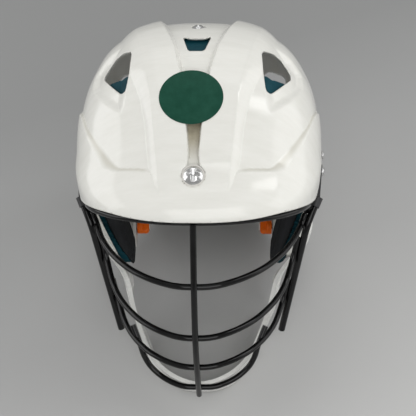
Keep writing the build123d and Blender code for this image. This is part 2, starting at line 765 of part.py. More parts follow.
with BuildPart() as rear_cradle:
    with BuildSketch(Plane.XY.offset(cradle_floor)):
        add(cradle_plan(-cradle_wall / 2))
        add(cradle_plan(cradle_wall / 2), mode=Mode.SUBTRACT)
        with Locations((0, cradle_tip + cradle_wall - cradle_rear_reach)):
            Rectangle(2 * cradle_half_width - cradle_wall, 2 * cradle_rear_reach, mode=Mode.SUBTRACT)
    extrude(amount=cradle_height)
    with BuildSketch(Plane.YZ.offset(-overrun * 2)):
        with BuildLine():
            Polyline(
                (cradle_tip - cradle_wall, cradle_floor + cradle_wall),
                (cradle_tip + cradle_height, cradle_rise + cradle_height),
                (cradle_tip - cradle_height, cradle_rise + cradle_height), close=True,
            )
        make_face()
    extrude(amount=overrun * 4, mode=Mode.SUBTRACT)
    slot_length = cradle_travel + 2 * (pin_radius + clearance)
    with BuildSketch(Plane.YZ.offset(-overrun * 2)):
        with Locations((-pin_ahead + cradle_travel / 2, pin_height)):
            SlotOverall(slot_length, 2 * (pin_radius + clearance))
    extrude(amount=overrun * 4, mode=Mode.SUBTRACT)

with BuildPart() as cradle_pad:
    with BuildSketch(Plane.XY.offset(cradle_floor)):
        add(cradle_plan(cradle_wall / 2))
        add(cradle_plan(cradle_wall / 2 + cradle_pad_depth), mode=Mode.SUBTRACT)
        with Locations((0, cradle_rear_reach / 2 + cradle_wall - overrun)):
            Rectangle(overrun * 4, overrun * 2, mode=Mode.SUBTRACT)
    extrude(amount=cradle_height)

# Pins that carry the cradle, and the knobs that lock it
arm_outside = cradle_half_width + cradle_wall / 2
arm_inside = cradle_half_width - cradle_wall / 2
knob_outside = arm_inside - knob_gap
pin_end = knob_outside - knob_thickness - liner_gap
with BuildPart() as cradle_pin:
    add(cylinder_on(pin_axis, boss_radius, arm_outside + liner_gap, shell_half_width))
    add(envelope(shell_wall), mode=Mode.INTERSECT)
    add(cylinder_on(pin_axis, pin_radius, pin_end, pin_side))
    add(cylinder_on(pin_seat, small_head_radius, 0, head_rise / 2))
    add(cylinder_on(pin_axis, pin_radius + washer_thickness, pin_end - washer_thickness, pin_end))

with BuildPart() as lock_knob:
    add(cylinder_on(pin_axis, knob_radius, knob_outside - knob_thickness / 2, knob_outside))
    with BuildSketch(pin_axis.offset(knob_outside - knob_thickness)):
        SlotOverall(2 * (knob_radius - clearance), knob_radius, rotation=30)
    extrude(amount=knob_thickness / 2)
    add(cylinder_on(pin_axis, pin_radius + running_clearance, 0, shell_half_width), mode=Mode.SUBTRACT)

# Size label on the band
strip_outer = band(-label_thickness - running_clearance)[0]
strip_inner = band(-running_clearance)[0]
with BuildPart() as size_label:
    with BuildSketch(sight_plane):
        with Locations((-label_offset, label_rise)):
            Ellipse(label_half_width, label_half_height)
    extrude(amount=2 * shell_half_width)
    add(strip_outer, mode=Mode.INTERSECT)
    add(strip_inner, mode=Mode.SUBTRACT)

single_pieces = {
    "shell": shell.part, "chin_guard": chin_guard.part, "brow_bar": brow_bar, "eye_bar": eye_bar,
    "nose_bar": nose_bar, "mouth_bar": mouth_bar, "chin_bar": chin_bar, "centre_bar": centre_bar,
    "brow_tab": brow_tab.part, "front_screw": front_screw, "front_washer": front_washer.part,
    "brow_nut": brow_nut, "top_screw": top_screw, "top_nut": top_nut, "rear_cradle": rear_cradle.part,
    "cradle_pad": cradle_pad.part, "size_label": size_label.part,
}
paired_pieces = {
    "side_bar": side_bar_right, "side_clip": side_clip.part, "jaw_backing": jaw_backing.part,
    "jaw_pad": jaw_pad.part, "cradle_pin": cradle_pin.part, "lock_knob": lock_knob.part,
}
grouped_pieces = {
    "guard_screws": guard_screw_pieces, "guard_nuts": guard_nut_pieces, "clip_screws": [clip_screw],
    "clip_nuts": [clip_nut], "snap_studs": snap_stud_pieces,
}
for name, piece in liner_pieces.items():
    if name.endswith("_right"):
        paired_pieces[name[:-len("_right")]] = piece
    else:
        single_pieces[name] = piece

for name, piece in single_pieces.items():
    save(piece, name)
for name, piece in paired_pieces.items():
    save(piece, name + "_right")
    save(mirrored(piece), name + "_left")
for name, pieces in grouped_pieces.items():
    save(group(pieces + [mirrored(piece) for piece in pieces]), name)

print("centring", centring)
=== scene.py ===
import bmesh
import bpy
import math
import numpy as np
from mathutils import Matrix, Vector


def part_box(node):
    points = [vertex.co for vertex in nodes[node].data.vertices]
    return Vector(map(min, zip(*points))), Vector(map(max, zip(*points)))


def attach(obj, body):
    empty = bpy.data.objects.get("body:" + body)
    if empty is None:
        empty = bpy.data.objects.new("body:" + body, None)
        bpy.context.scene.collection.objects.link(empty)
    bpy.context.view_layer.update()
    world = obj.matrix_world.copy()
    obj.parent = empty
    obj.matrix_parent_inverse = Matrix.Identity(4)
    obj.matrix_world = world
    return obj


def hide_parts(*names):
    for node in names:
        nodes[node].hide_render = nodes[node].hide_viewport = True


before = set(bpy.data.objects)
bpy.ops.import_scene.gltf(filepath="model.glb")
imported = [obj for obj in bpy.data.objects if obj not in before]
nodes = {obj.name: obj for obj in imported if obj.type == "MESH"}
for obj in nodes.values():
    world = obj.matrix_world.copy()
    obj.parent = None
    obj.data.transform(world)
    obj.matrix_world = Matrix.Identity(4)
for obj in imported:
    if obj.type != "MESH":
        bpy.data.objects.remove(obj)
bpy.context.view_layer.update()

# Sizes in millimetres: across, ahead of the head's axis, above the table
MM = 1000.0
SHELL_HALF_WIDTH = 109.0
S = SHELL_HALF_WIDTH
CROWN_RADIUS = 108.0
WIDEST_HEIGHT = 178.0
FACE_REACH = 174.0
SHELL_WALL = 3.5
INNER_INSET = 3.0
WIDTH_POWER = 2.5
SIGHT = math.radians(48.0)
BACK_OF_SHELL = 121.44
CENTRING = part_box("shell")[1].y * MM - BACK_OF_SHELL

# Sunk panels and scoops: their depths, and the heights towards the viewer over which they fade in
PANEL_DEPTH = 2.5
PANEL_START, PANEL_FADE = -20.0, 50.0
PANEL_TOP_SHARE, PANEL_TOP_FADE_SHARE = 0.82, 0.24
FACET_LEAST_WIDTH = 3.0
SCOOP_DEPTH, SCOOP_SLOPE = 3.4, 8.0
SCOOP_START, SCOOP_FADE = 5.0, 25.0

# Raised band and its channel: heights over the smooth form, angles in degrees up from straight ahead
RIDGE_HEIGHT = 4.0
FLANK_STRAIGHT_SHARE, FLANK_END = 0.45, 1.5
BAND_OFF_SHARE = -3.0
CHANNEL_SINK = 2.0
STEP_RISE, STEP_SHARE, STEP_FADE_SHARE = 1.2, 0.612, 0.03
CHANNEL_START, CHANNEL_START_FADE = 31.0, 4.0
CHANNEL_FINISH, CHANNEL_FINISH_FADE = 183.0, 16.0
CHANNEL_ENDS = (30.0, 186.0)
WALL_TOP, CLOSED_LEVEL, BEYOND_LEVEL = 9.0, 6.0, 12.0

# Roundings between the shell's faces, the ear holes, and the distance that stands for no cut
BAND_ROUND, CHANNEL_ROUND = 1.0, 0.9
WALL_ROUND, BRIM_ROUND, VENT_ROUND, POCKET_ROUND = 1.4, 2.2, 1.8, 0.6
EAR_AHEAD, EAR_HEIGHT, EAR_HALF_SLOT, EAR_RADIUS = -15.7, 142.4, 9.0, 8.0
EAR_INSIDE = 60.0
FAR = 40.0

# Side outline: angle up from straight ahead, radius as a share of the crown's
PROFILE = [
    (-90, 1.99), (-65, 1.39), (-46, 1.075), (-25, 0.972), (-10, 1.10), (0, 1.24), (12, 1.287),
    (20, 1.324), (32, 1.148), (45, 1.046), (60, 1.009), (90, 1.0), (120, 1.0185), (150, 1.065),
    (180, 1.111), (207, 1.24), (224, 1.45), (237, 1.70), (252, 1.93),
]
# Outlines as seen along the sight line: shares of the half width, across and up
PANEL = [
    (1.30, 0.37), (1.08, 0.31), (0.928, 0.217), (0.806, -0.028), (0.669, -0.234), (0.589, -0.252),
    (0.322, -0.261), (0.263, -0.316), (0.235, -0.40), (0.10, -0.40), (0.10, 0), (0.10, 0.4), (0.30, 0.9),
    (1.30, 0.9),
]
FACET = [
    (1.30, 0.41), (1.06, 0.35), (0.93, 0.255), (0.89, 0.166), (0.716, -0.047), (0.559, -0.225),
    (0.395, -0.225), (0.31, -0.24), (0.24, -0.31), (0.10, -0.36), (0.10, 0), (0.10, 0.4), (0.30, 0.9),
    (1.30, 0.9),
]
SCOOP = [
    (0.835, 0.408), (0.798, 0.349), (0.693, 0.261), (0.615, 0.206), (0.55, 0.174), (0.518, 0.248),
    (0.49, 0.70), (0.56, 0.77), (0.734, 0.68), (0.835, 0.54),
]
SIDE_VENT = [
    (0.495, 0.68), (0.578, 0.68), (0.656, 0.633), (0.725, 0.514), (0.725, 0.477), (0.633, 0.394),
    (0.56, 0.335), (0.523, 0.358), (0.505, 0.514),
]
REAR_VENT = [(0.53, 0.46), (0.50, 0.66), (0.60, 0.73), (0.74, 0.66), (0.76, 0.52), (0.66, 0.42)]
CENTRE_VENT = [
    (-0.11, 0.805), (-0.06, 0.783), (0, 0.78), (0.06, 0.783), (0.11, 0.805), (0.062, 0.67), (-0.062, 0.67),
]
# The shell's edge in side view: shares of the face reach and the widest height
BRIM = [
    (0.774, 1.270), (0.674, 1.227), (0.577, 1.156), (0.484, 1.081), (0.368, 0.995), (0.31, 0.95),
    (0.30, 0.80), (0.305, 0.62), (0.275, 0.45), (0.20, 0.335), (0.05, 0.27), (-0.12, 0.16), (-0.29, 0.05),
    (-0.42, 0), (-2, 0), (-2, -0.6), (1.2, -0.6), (1.2, 1.43),
]
# Band: angle, top and foot of its flank as shares of the half width, share of the ridge's height
BAND = np.array([
    (23, 0.22, 0.25, -0.6), (31, 0.25, 0.31, 0.45), (38, 0.265, 0.335, 0.9), (52, 0.295, 0.36, 1),
    (66, 0.32, 0.405, 1), (78, 0.36, 0.475, 1), (90, 0.41, 0.56, 1), (104, 0.465, 0.63, 1),
    (120, 0.51, 0.68, 1), (138, 0.52, 0.69, 0.9), (156, 0.50, 0.64, 0.4), (170, 0.48, 0.58, -0.6),
])
# Channel: angle, half widths of its floor and its mouth as shares of the half width
CHANNEL = np.array([
    (35, 0.040, 0.055), (41, 0.028, 0.040), (52, 0.045, 0.057), (64, 0.066, 0.082), (78, 0.092, 0.115),
    (92, 0.135, 0.17), (104, 0.185, 0.23), (118, 0.24, 0.29), (136, 0.285, 0.34), (156, 0.30, 0.355),
    (176, 0.30, 0.36),
])

# Pads: angle up from straight ahead, share of the half width at the middle, shares across and along
PADS = {
    "front": (50, 0, 0.86, 0.38), "crown": (94, 0, 0.62, 0.70), "rear": (177, 0, 0.78, 0.90),
    "temple_right": (64, 0.73, 0.37, 0.58), "side_right": (198, 0.91, 0.48, 0.42),
}
PAD_CORNER, PAD_PULL, PAD_CROWN, PAD_CROWN_REACH = 6.0, 1.2, 2.4, 9.0
LEAST_REACH = 20.0
LINER_START, LINER_END = 4.1, 18.0
CELL_PITCH, CELL_WIDTH, CELL_GROOVE, CELL_NOTCH = 16.0, 1.5, 1.8, 0.7
LINER_EDGE_ROUND, LINER_FACE_ROUND = 2.0, 3.0
FOAM_END, FOAM_MARGIN, FOAM_FLANGE = 25.2, 2.4, 2.2
FOAM_FLAT, FOAM_RAMP = 3.5, 7.0
SEWN_PITCH, SEWN_WIDTH, SEWN_DEPTH = 26.0, 1.7, 2.0
FOAM_EDGE_ROUND, FOAM_FACE_ROUND = 1.2, 2.4
SEAT_GAP = 0.15

# Jaw pads in side view: shares of the face reach and the widest height
JAW = [(0.06, 0.36), (0.138, 0.315), (0.23, 0.303), (0.264, 0.37), (0.265, 0.84), (0.06, 0.84)]
JAW_ROOM, JAW_MIDDLE, JAW_LEAN = 69.0, 82.0, 0.15
JAW_MARGIN, JAW_FLAT, JAW_CROWN, JAW_CROWN_REACH = 0.2, 0.3, 2.2, 9.0
JAW_SEAM_HEIGHT, JAW_SEAM_INSET, JAW_SEAM_DEPTH, JAW_SEAM_NOTCH = 70.0, 8.0, 1.4, 0.8
CROSS_SEAM_WIDTH, RIM_SEAM_WIDTH = 1.4, 1.2
JAW_FACE_ROUND, JAW_SEAT_ROUND = 4.0, 1.2
BACKING_START, BACKING_END, BACKING_MARGIN, BACKING_ROUND = 4.1, 9.0, 1.2, 1.0
SCALLOPS, SCALLOP_DEPTH = 36, 2.0
SCALLOP_AHEAD, SCALLOP_HEIGHT, SCALLOP_STRETCH = 28.0, 105.0, 2.0
NUT_ROOM, NUT_ROOM_ROUND = 7.6, 0.6

# Rear cradle and its foam strip
CRADLE = [(1, 0.16), (1, -0.56), (0.85, -0.80), (0.52, -0.96), (0, -1)]
CRADLE_HALF, CRADLE_REAR, CRADLE_HEIGHT = 73.0, 84.0, 41.0
STRIP_START, STRIP_EDGE, STRIP_CROWN = 1.6, 5.6, 3.6
STRIP_CROWN_HALF, STRIP_CROWN_REACH = 12.4, 7.0
STRIP_HALF_HEIGHT, STRIP_FRONT = 12.6, -45.4
STRIP_LINE_TURN, STRIP_LINE_WIDTH, STRIP_LINE_DEPTH = 15.0, 1.6, 1.5
STRIP_TURN_CENTRE = -20.0
STRIP_EDGE_ROUND, STRIP_SIDE_ROUND = 2.0, 2.4

# Lock knobs: place of the grip's tip, then sizes along and round the pin
KNOB = (58.5, -22.0, 41.0)
KNOB_RADIUS, KNOB_HALF_PINCH, KNOB_BORE_RADIUS = 7.9, 5.0, 3.06
KNOB_TIP, KNOB_COLLAR_START, KNOB_LENGTH = 0.1, 6.4, 11.9
PINCH_TURN = math.radians(60)
DOME_ROUND, GRIP_ROUND, NECK_ROUND, KNOB_END_ROUND = 6.0, 2.0, 1.5, 0.8

# Front screw: domed head, cross recess and shank, by height over its seat
SCREW_ROUND, SCREW_BASE, SCREW_SEAT, SCREW_EDGE_ROUND = 9.9, 3.4, 2.42, 0.5
RECESS_HALF_WIDTH, RECESS_TAPER, RECESS_TAPER_START = 0.95, 0.16, 2.8
RECESS_REACH, RECESS_FLOOR, RECESS_SLOPE, RECESS_ROUND = 5.2, 3.2, 0.28, 0.3
SHANK_RADIUS, SHANK_LOW, SHANK_HIGH = 2.45, -6.6, 2.7

# Screws, studs and pockets: angles on the middle line, or shares of the face reach and the widest height
FRONT_SCREW_TURN, TOP_SCREW_TURN = 33, 116
GUARD_SCREWS = [(0.19, 0.355), (0.09, 0.40)]
UPPER_STUD, LOWER_STUD = (0.046, 0.983), (-0.05, 0.56)
FRONT_POCKET_RADIUS, POCKET_RADIUS = 9.2, 5.8
FRONT_POCKET_LEVEL, TOP_POCKET_LEVEL, STUD_POCKET_LEVEL = 1.4, -2.4, -0.8

# Meshing: steps, the boxes searched for a field's surface, and the moves of its points onto it
SHELL_STEP, PAD_STEP, QUICK_STEP, KNOB_STEP, SCREW_STEP = 1.4, 1.6, 2.2, 0.7, 0.4
SHELL_BOX = ((-111, -124, -2), (111, 138, 292))
SEARCH_BOX = ((-114.0, -126, -4), (114.0, 140, 294))
SEARCH_STEP, SEARCH_SPARE, SEARCH_NEAR = 7.0, 9.0, 5
KNOB_BOX = ((56, -32, 31), (73, -12, 51))
SCREW_SPARE = 11
COARSE_REACH = 11.0
NEWTON_ROUNDS, LEAST_SLOPE, LONGEST_MOVE = 4, 0.2, 0.6
SLOPE_REACH, NORMAL_REACH = 0.12, 0.25
SPLINE_POINTS, SPLINE_STEP = 40, 0.25

# Masks on the shell for the channel's darkening (part dust, part painted shade), the facets' painted shade
# and yellowish tint, and the chips: where each starts, and the width of its fade
OUTSIDE_START, OUTSIDE_FADE = -3.0, 0.6
# Channel floor mask: the recess is painted darker, part dust and part painted shade
DUST_SHADE_LEVEL, DUST_SHADE_LEVEL_FADE = 1.6, 3.4
DUST_SHADE_START, DUST_SHADE_START_FADE = 35, 14
DUST_SHADE_FINISH, DUST_SHADE_FINISH_FADE = 74, 8
FACET_FOOT_FADE, FACET_TOP_FADE = 0.6, 0.3
FACET_HIGH_SHARE, FACET_HIGH_FADE, FACET_BAND_FADE = 0.75, 0.12, 0.05
FACET_START, FACET_FADE = 20, 30
CHIP_WIDTH, CHIP_WIDTH_FADE, CHIP_START, CHIP_START_FADE, CHIP_SHARE = 2.2, 1.2, 40, 20, 0.7

# Floor in metres, and its painted light: shades from the back left to the front right, lighter towards the
# front right as under the lamps' falloff
FLOOR_REACH, FLOOR_DROP = 6.0, 0.0003
FLOOR_SLANT, FLOOR_STRETCH, FLOOR_MIDDLE = 0.5, 1.3, 0.5
FLOOR_PAINTED_LIGHT = [(0.0, (0.32, 0.323, 0.323)), (0.5, (0.43, 0.431, 0.43)), (1.0, (0.67, 0.67, 0.662))]
# Camera: angles, distance and target in metres, focal length, frame width and sideways shift in pixels
ELEVATION, YAW, ROLL = SIGHT, math.radians(2.9), math.radians(-2.0)
CAMERA_DISTANCE, TARGET_HEIGHT, SENSOR = 0.831, 0.094, 36.0
FOCAL_PIXELS, FRAME_PIXELS, SHIFT_PIXELS = 840.0, 416.0, 5.4
# Lamps: name, place, height aimed at, width, length and power in watts
LAMPS = [
    ("softbox", (1.02, 0.24, 1.42), 0.15, 0.26, 0.7, 2.6),
    ("right", (1.6, 0.1, 0.45), 0.12, 1.5, 1.5, 8),
    ("left", (-1.6, 0.1, 0.45), 0.12, 1.5, 1.5, 12),
    ("front", (0.25, -1.25, 1.35), 0.12, 1.4, 1.4, 12.5),
    ("back", (0, 0.9, 1.6), 0.12, 1.2, 1.2, 3),
]
WORLD_COLOUR, WORLD_STRENGTH = (0.80, 0.80, 0.79, 1), 0.5


# Fields: signed distances in millimetres over points (across, ahead, up), negative inside

def periodic_spline(points):
    """Dense table of the side outline's radius by angle, through the listed points."""
    a = np.radians([p[0] for p in points])
    radii = np.array([p[1] for p in points])
    xy = np.stack([radii * np.cos(a), radii * np.sin(a)], 1)
    n = len(points)
    step = np.linalg.norm(np.roll(xy, -1, 0) - xy, axis=1)
    m = np.zeros((n, n))
    rhs = np.zeros((n, 2))
    for i in range(n):
        h0, h1 = step[i - 1], step[i]
        m[i, (i - 1) % n] += h0
        m[i, i] += 2 * (h0 + h1)
        m[i, (i + 1) % n] += h1
        rhs[i] = 6 * ((xy[(i + 1) % n] - xy[i]) / h1 - (xy[i] - xy[i - 1]) / h0)
    second = np.linalg.solve(m, rhs)
    out = []
    for i in range(n):
        j, h = (i + 1) % n, step[i]
        t = np.linspace(0, h, SPLINE_POINTS, endpoint=False)[:, None]
        out.append(
            second[i] * (h - t) ** 3 / (6 * h) + second[j] * t ** 3 / (6 * h)
            + (xy[i] / h - second[i] * h / 6) * (h - t) + (xy[j] / h - second[j] * h / 6) * t
        )
    out = np.concatenate(out)
    angle = np.degrees(np.arctan2(out[:, 1], out[:, 0]))
    angle = (angle + 90) % 360 - 90
    order = np.argsort(angle)
    angle, radius = angle[order], np.hypot(out[:, 0], out[:, 1])[order]
    grid = np.arange(-90, 270 + SPLINE_STEP / 2, SPLINE_STEP)
    return grid, np.interp(grid, np.r_[angle - 360, angle, angle + 360], np.tile(radius, 3))


PROFILE_ANGLE, PROFILE_RADIUS = periodic_spline(PROFILE)
PROFILE_SLOPE = np.gradient(PROFILE_RADIUS, np.radians(PROFILE_ANGLE))


def polar(p):
    """Angle up from straight ahead, in degrees, and distance from the widest axis."""
    up = p[..., 2] - WIDEST_HEIGHT
    return (np.degrees(np.arctan2(up, p[..., 1])) + 90) % 360 - 90, np.hypot(p[..., 1], up)


def envelope(p):
    """Distance to the smooth form of the shell's outer face."""
    angle, rho = polar(p)
    radius = np.interp(angle, PROFILE_ANGLE, PROFILE_RADIUS) * CROWN_RADIUS
    slope = np.interp(angle, PROFILE_ANGLE, PROFILE_SLOPE) * CROWN_RADIUS
    a = np.maximum(np.abs(p[..., 0]) / S, 1e-6)
    b = np.maximum(rho / radius, 1e-6)
    g = (a ** WIDTH_POWER + b ** WIDTH_POWER) ** (1 / WIDTH_POWER)
    k = g ** (1 - WIDTH_POWER)
    gx = a ** (WIDTH_POWER - 1) / S * k
    gr = b ** (WIDTH_POWER - 1) / radius * k
    ga = b ** WIDTH_POWER * slope / radius * k / np.maximum(rho, 1)
    return (g - 1) / np.sqrt(gx * gx + gr * gr + ga * ga)


def sight(p):
    """Places across and up as seen along the sight line, and height towards the viewer."""
    f, u = p[..., 1], p[..., 2] - WIDEST_HEIGHT
    c, s = math.cos(SIGHT), math.sin(SIGHT)
    return p[..., 0], u * c - f * s, f * c + u * s


def softened(points, cut=0.2, rounds=2):
    """Outline with its corners cut in turn, which rounds them."""
    q = np.array(points, float)
    for _ in range(rounds):
        nxt = np.roll(q, -1, 0)
        q = np.stack([q * (1 - cut) + nxt * cut, q * cut + nxt * (1 - cut)], 1).reshape(-1, 2)
    return q


def outline(points, x, y):
    """Signed distance to a closed outline, negative inside."""
    best = np.full(x.shape, np.inf)
    inside = np.zeros(x.shape, bool)
    for a, b in zip(points, np.roll(points, -1, 0)):
        ex, ey = b[0] - a[0], b[1] - a[1]
        wx, wy = x - a[0], y - a[1]
        t = np.clip((wx * ex + wy * ey) / max(ex * ex + ey * ey, 1e-9), 0, 1)
        best = np.minimum(best, (wx - ex * t) ** 2 + (wy - ey * t) ** 2)
        crosses = (a[1] <= y) != (b[1] <= y)
        if ey:
            inside ^= crosses & (x < a[0] + (y - a[1]) * ex / ey)
    return np.where(inside, -1, 1) * np.sqrt(best)


def smooth_max(a, b, r):
    """Larger of two fields, with the edge between them rounded."""
    h = np.clip(0.5 + 0.5 * (a - b) / r, 0, 1)
    return b + (a - b) * h + r * h * (1 - h) * 0.5


def smooth_min(a, b, r):
    """Smaller of two fields, with the corner between them filled."""
    return -smooth_max(-a, -b, r)


def ease(t):
    """Smooth step from 0 to 1 as t goes from 0 to 1."""
    t = np.clip(t, 0, 1)
    return t * t * (3 - 2 * t)


PANEL_LINE = softened(np.array(PANEL) * S, 0.1, 1)
FACET_LINE = softened(np.array(FACET) * S, 0.1, 1)
SCOOP_LINE = softened(np.array(SCOOP) * S, 0.15, 1)
SIDE_VENT_LINE = softened(np.array(SIDE_VENT) * S, 0.15, 1)
REAR_VENT_LINE = softened(np.array(REAR_VENT) * S, 0.15, 2)
CENTRE_VENT_LINE = softened(np.array(CENTRE_VENT) * S, 0.1, 1)
BRIM_LINE = softened([(a * FACE_REACH, b * WIDEST_HEIGHT) for a, b in BRIM])
JAW_LINE = softened([(a * FACE_REACH, b * WIDEST_HEIGHT) for a, b in JAW], 0.16)
CRADLE_PLAN = [(-a, f) for a, f in CRADLE] + CRADLE[-2::-1]
CRADLE_LINE = softened([(a * CRADLE_HALF, f * CRADLE_REAR) for a, f in CRADLE_PLAN])


def gradient(field, p, reach=SLOPE_REACH):
    """A field's slope at points, from its values a little to both sides of them."""
    g = np.empty_like(p)
    for i in range(3):
        d = np.zeros(3)
        d[i] = reach
        g[:, i] = (field(p + d) - field(p - d)) / (2 * reach)
    return g


def with_normal(spot):
    """A place on the smooth form, with the form's direction there."""
    normal = gradient(envelope, np.array([spot], float))[0]
    return np.array(spot, float), normal / np.linalg.norm(normal)


def crown_seat(degrees):
    """Place on the shell's middle line, by its angle up from straight ahead."""
    reach = np.interp(degrees, PROFILE_ANGLE, PROFILE_RADIUS) * CROWN_RADIUS
    turn = math.radians(degrees)
    return with_normal((0, reach * math.cos(turn), WIDEST_HEIGHT + reach * math.sin(turn)))


def side_seat(ahead, height):
    """Place on the right side of the shell, by its shares of the face reach and the widest height."""
    spot = np.array([[0, ahead * FACE_REACH, height * WIDEST_HEIGHT]])
    angle, rho = polar(spot)
    share = rho[0] / (np.interp(angle[0], PROFILE_ANGLE, PROFILE_RADIUS) * CROWN_RADIUS)
    across = S * (1 - share ** WIDTH_POWER) ** (1 / WIDTH_POWER)
    return with_normal((across, spot[0, 1], spot[0, 2]))


FRONT_SEAT = crown_seat(FRONT_SCREW_TURN)
NUT_SEATS = [side_seat(*share) for share in GUARD_SCREWS]
# Round pockets for the screws and studs: place, radius, height of the floor over the smooth form
POCKETS = [
    (FRONT_SEAT, FRONT_POCKET_RADIUS, FRONT_POCKET_LEVEL),
    (crown_seat(TOP_SCREW_TURN), POCKET_RADIUS, TOP_POCKET_LEVEL),
    (side_seat(*UPPER_STUD), POCKET_RADIUS, STUD_POCKET_LEVEL),
    (side_seat(*LOWER_STUD), POCKET_RADIUS, STUD_POCKET_LEVEL),
]


def across_seat(p, seat):
    """Distance from a seat's axis, and height over the seat."""
    spot, normal = seat
    q = p - spot
    h = q @ normal
    return np.sqrt(np.maximum((q * q).sum(-1) - h * h, 0)), h


def column(table, index, angle, beyond=None):
    """A table's value at an angle; its end rows hold beyond its ends, unless a value for there is given."""
    return np.interp(angle, table[:, 0], table[:, index], left=beyond, right=beyond)


def sunk_share(ax, w):
    """How far down the facet a place is: 0 on the raised brim, 1 on the sunk panel."""
    below = -outline(PANEL_LINE, ax, w)
    above = outline(FACET_LINE, ax, w)
    share = np.where(above > 0, below / np.maximum(below + above, 0.1), 1)
    return np.clip(np.minimum(share, below / FACET_LEAST_WIDTH), 0, 1)


def reliefs(p, *insets):
    """Heights of the moulded features over the smooth form: the outer face's, or one's at an inset."""
    angle = polar(p)[0]
    x, w, t = sight(p)
    ax = np.abs(x)
    fade = ease((t - PANEL_START) / PANEL_FADE) * ease((PANEL_TOP_SHARE - w / S) / PANEL_TOP_FADE_SHARE)
    panel = -PANEL_DEPTH * sunk_share(ax, w) * fade
    scoop = outline(SCOOP_LINE, ax, w)
    panel = panel - SCOOP_DEPTH * ease(-scoop / SCOOP_SLOPE) * ease((t - SCOOP_START) / SCOOP_FADE)
    top = column(BAND, 1, angle) * S
    foot = column(BAND, 2, angle) * S
    rise = column(BAND, 3, angle, BAND_OFF_SHARE) * RIDGE_HEIGHT
    out = []
    for inset in insets:
        flank = np.clip((ax + inset - top) / np.maximum(foot - top, 1), 0, FLANK_END)
        fall = FLANK_STRAIGHT_SHARE * flank + (1 - FLANK_STRAIGHT_SHARE) * flank * flank
        band = rise - np.maximum(rise + PANEL_DEPTH, 0) * fall
        h = smooth_max(panel, band, BAND_ROUND)
        out.append(smooth_min(h, channel(angle, ax - inset, w), CHANNEL_ROUND))
    return out


def channel(angle, ax, w):
    """Height of the band's channel: its floor with a step under the middle vent, and its walls."""
    floor = column(CHANNEL, 1, angle) * S
    mouth = column(CHANNEL, 2, angle) * S
    bottom = -CHANNEL_SINK + STEP_RISE * ease((w / S - STEP_SHARE) / STEP_FADE_SHARE)
    wall = bottom + (ax - floor) / (mouth - floor) * (RIDGE_HEIGHT - bottom)
    wall = np.clip(wall, bottom, WALL_TOP)
    start = ease((angle - CHANNEL_START) / CHANNEL_START_FADE)
    finish = ease((CHANNEL_FINISH - angle) / CHANNEL_FINISH_FADE)
    wall = wall * start * finish + CLOSED_LEVEL * (1 - start * finish)
    return np.where((angle < CHANNEL_ENDS[0]) | (angle > CHANNEL_ENDS[1]), BEYOND_LEVEL, wall)


def shell_field(p):
    """Shell: a wall between its moulded faces, cut by its edge, vents and holes."""
    smooth = envelope(p)
    outer, inner = reliefs(p, 0, INNER_INSET)
    x, w, t = sight(p)
    ax = np.abs(x)
    d = smooth_max(smooth - outer, -(smooth - inner + SHELL_WALL), WALL_ROUND)
    d = smooth_max(d, -outline(BRIM_LINE, p[..., 1], p[..., 2]), BRIM_ROUND)
    for line, across, side in (
        (SIDE_VENT_LINE, ax, t > 0), (REAR_VENT_LINE, ax, t < 0), (CENTRE_VENT_LINE, x, t > 0),
    ):
        d = smooth_max(d, -np.where(side, outline(line, across, w), FAR), VENT_ROUND)
    slot = np.maximum(np.abs(p[..., 2] - EAR_HEIGHT) - EAR_HALF_SLOT, 0)
    ear = np.hypot(p[..., 1] - EAR_AHEAD, slot) - EAR_RADIUS
    d = smooth_max(d, -np.where(ax > EAR_INSIDE, ear, FAR), VENT_ROUND)
    right = np.stack([ax, p[..., 1], p[..., 2]], -1)
    for place, radius, level in POCKETS:
        off, h = across_seat(right, place)
        d = smooth_max(d, -np.maximum(off - radius, level - h), POCKET_ROUND)
    return d


# Cushions

def box_line(a, b, half_a, half_b, pull, corner):
    """Rounded rectangle whose sides pull in between its corners."""
    ua, ub = np.clip(np.abs(a) / half_a, 0, 1), np.clip(np.abs(b) / half_b, 0, 1)
    ka = np.abs(a) - half_a + pull * (1 - ub * ub) + corner
    kb = np.abs(b) - half_b + pull * (1 - ua * ua) + corner
    return np.hypot(np.maximum(ka, 0), np.maximum(kb, 0)) + np.minimum(np.maximum(ka, kb), 0) - corner


def pressed(off, width):
    """Depth from 0 to 1 of a sewn line, by the distance from it."""
    return np.exp(-(off / width) ** 2)


def grooves(along, pitch, width):
    """Depth from 0 to 1 of evenly spaced sewn lines."""
    return pressed(np.abs((along / pitch + 0.5) % 1 - 0.5) * pitch, width)


def pad_places(p, spec):
    """Places on a pad: across, along, outwards, and distance to its outline."""
    angle, lean, wide, tall = spec
    rise = CROWN_RADIUS * (1 - lean ** WIDTH_POWER) ** (1 / WIDTH_POWER)
    turn = math.radians(angle)
    heading = np.array([lean * S, rise * math.cos(turn), rise * math.sin(turn)])
    heading /= np.linalg.norm(heading)
    across = np.array([1, 0, 0]) - heading * heading[0]
    across /= np.linalg.norm(across)
    along = np.cross(heading, across)
    q = p - np.array([0, 0, WIDEST_HEIGHT])
    a, b = q @ across, q @ along
    return a, b, q @ heading, box_line(a, b, wide * S / 2, tall * S / 2, PAD_PULL, PAD_CORNER)


def liner_depth(edge):
    """Depth of a liner block's crowned face under the smooth form, by distance to the block's outline."""
    return LINER_END - PAD_CROWN * (1 - ease(-edge / PAD_CROWN_REACH))


def liner_field(spec):
    """Firm teal block against the shell, crowned on the head side and split by channels into cells."""
    def field(p):
        a, b, out, edge = pad_places(p, spec)
        e = envelope(p)
        lines = [grooves(along - CELL_PITCH / 2, CELL_PITCH, CELL_WIDTH) for along in (a, b)]
        line = np.maximum(*lines)
        outer = e - reliefs(p, INNER_INSET)[0] + LINER_START
        d = smooth_max(edge + CELL_NOTCH * line, outer, LINER_EDGE_ROUND)
        d = smooth_max(d, -(e + liner_depth(edge) - CELL_GROOVE * line), LINER_FACE_ROUND)
        return np.maximum(d, LEAST_REACH - out)
    return field


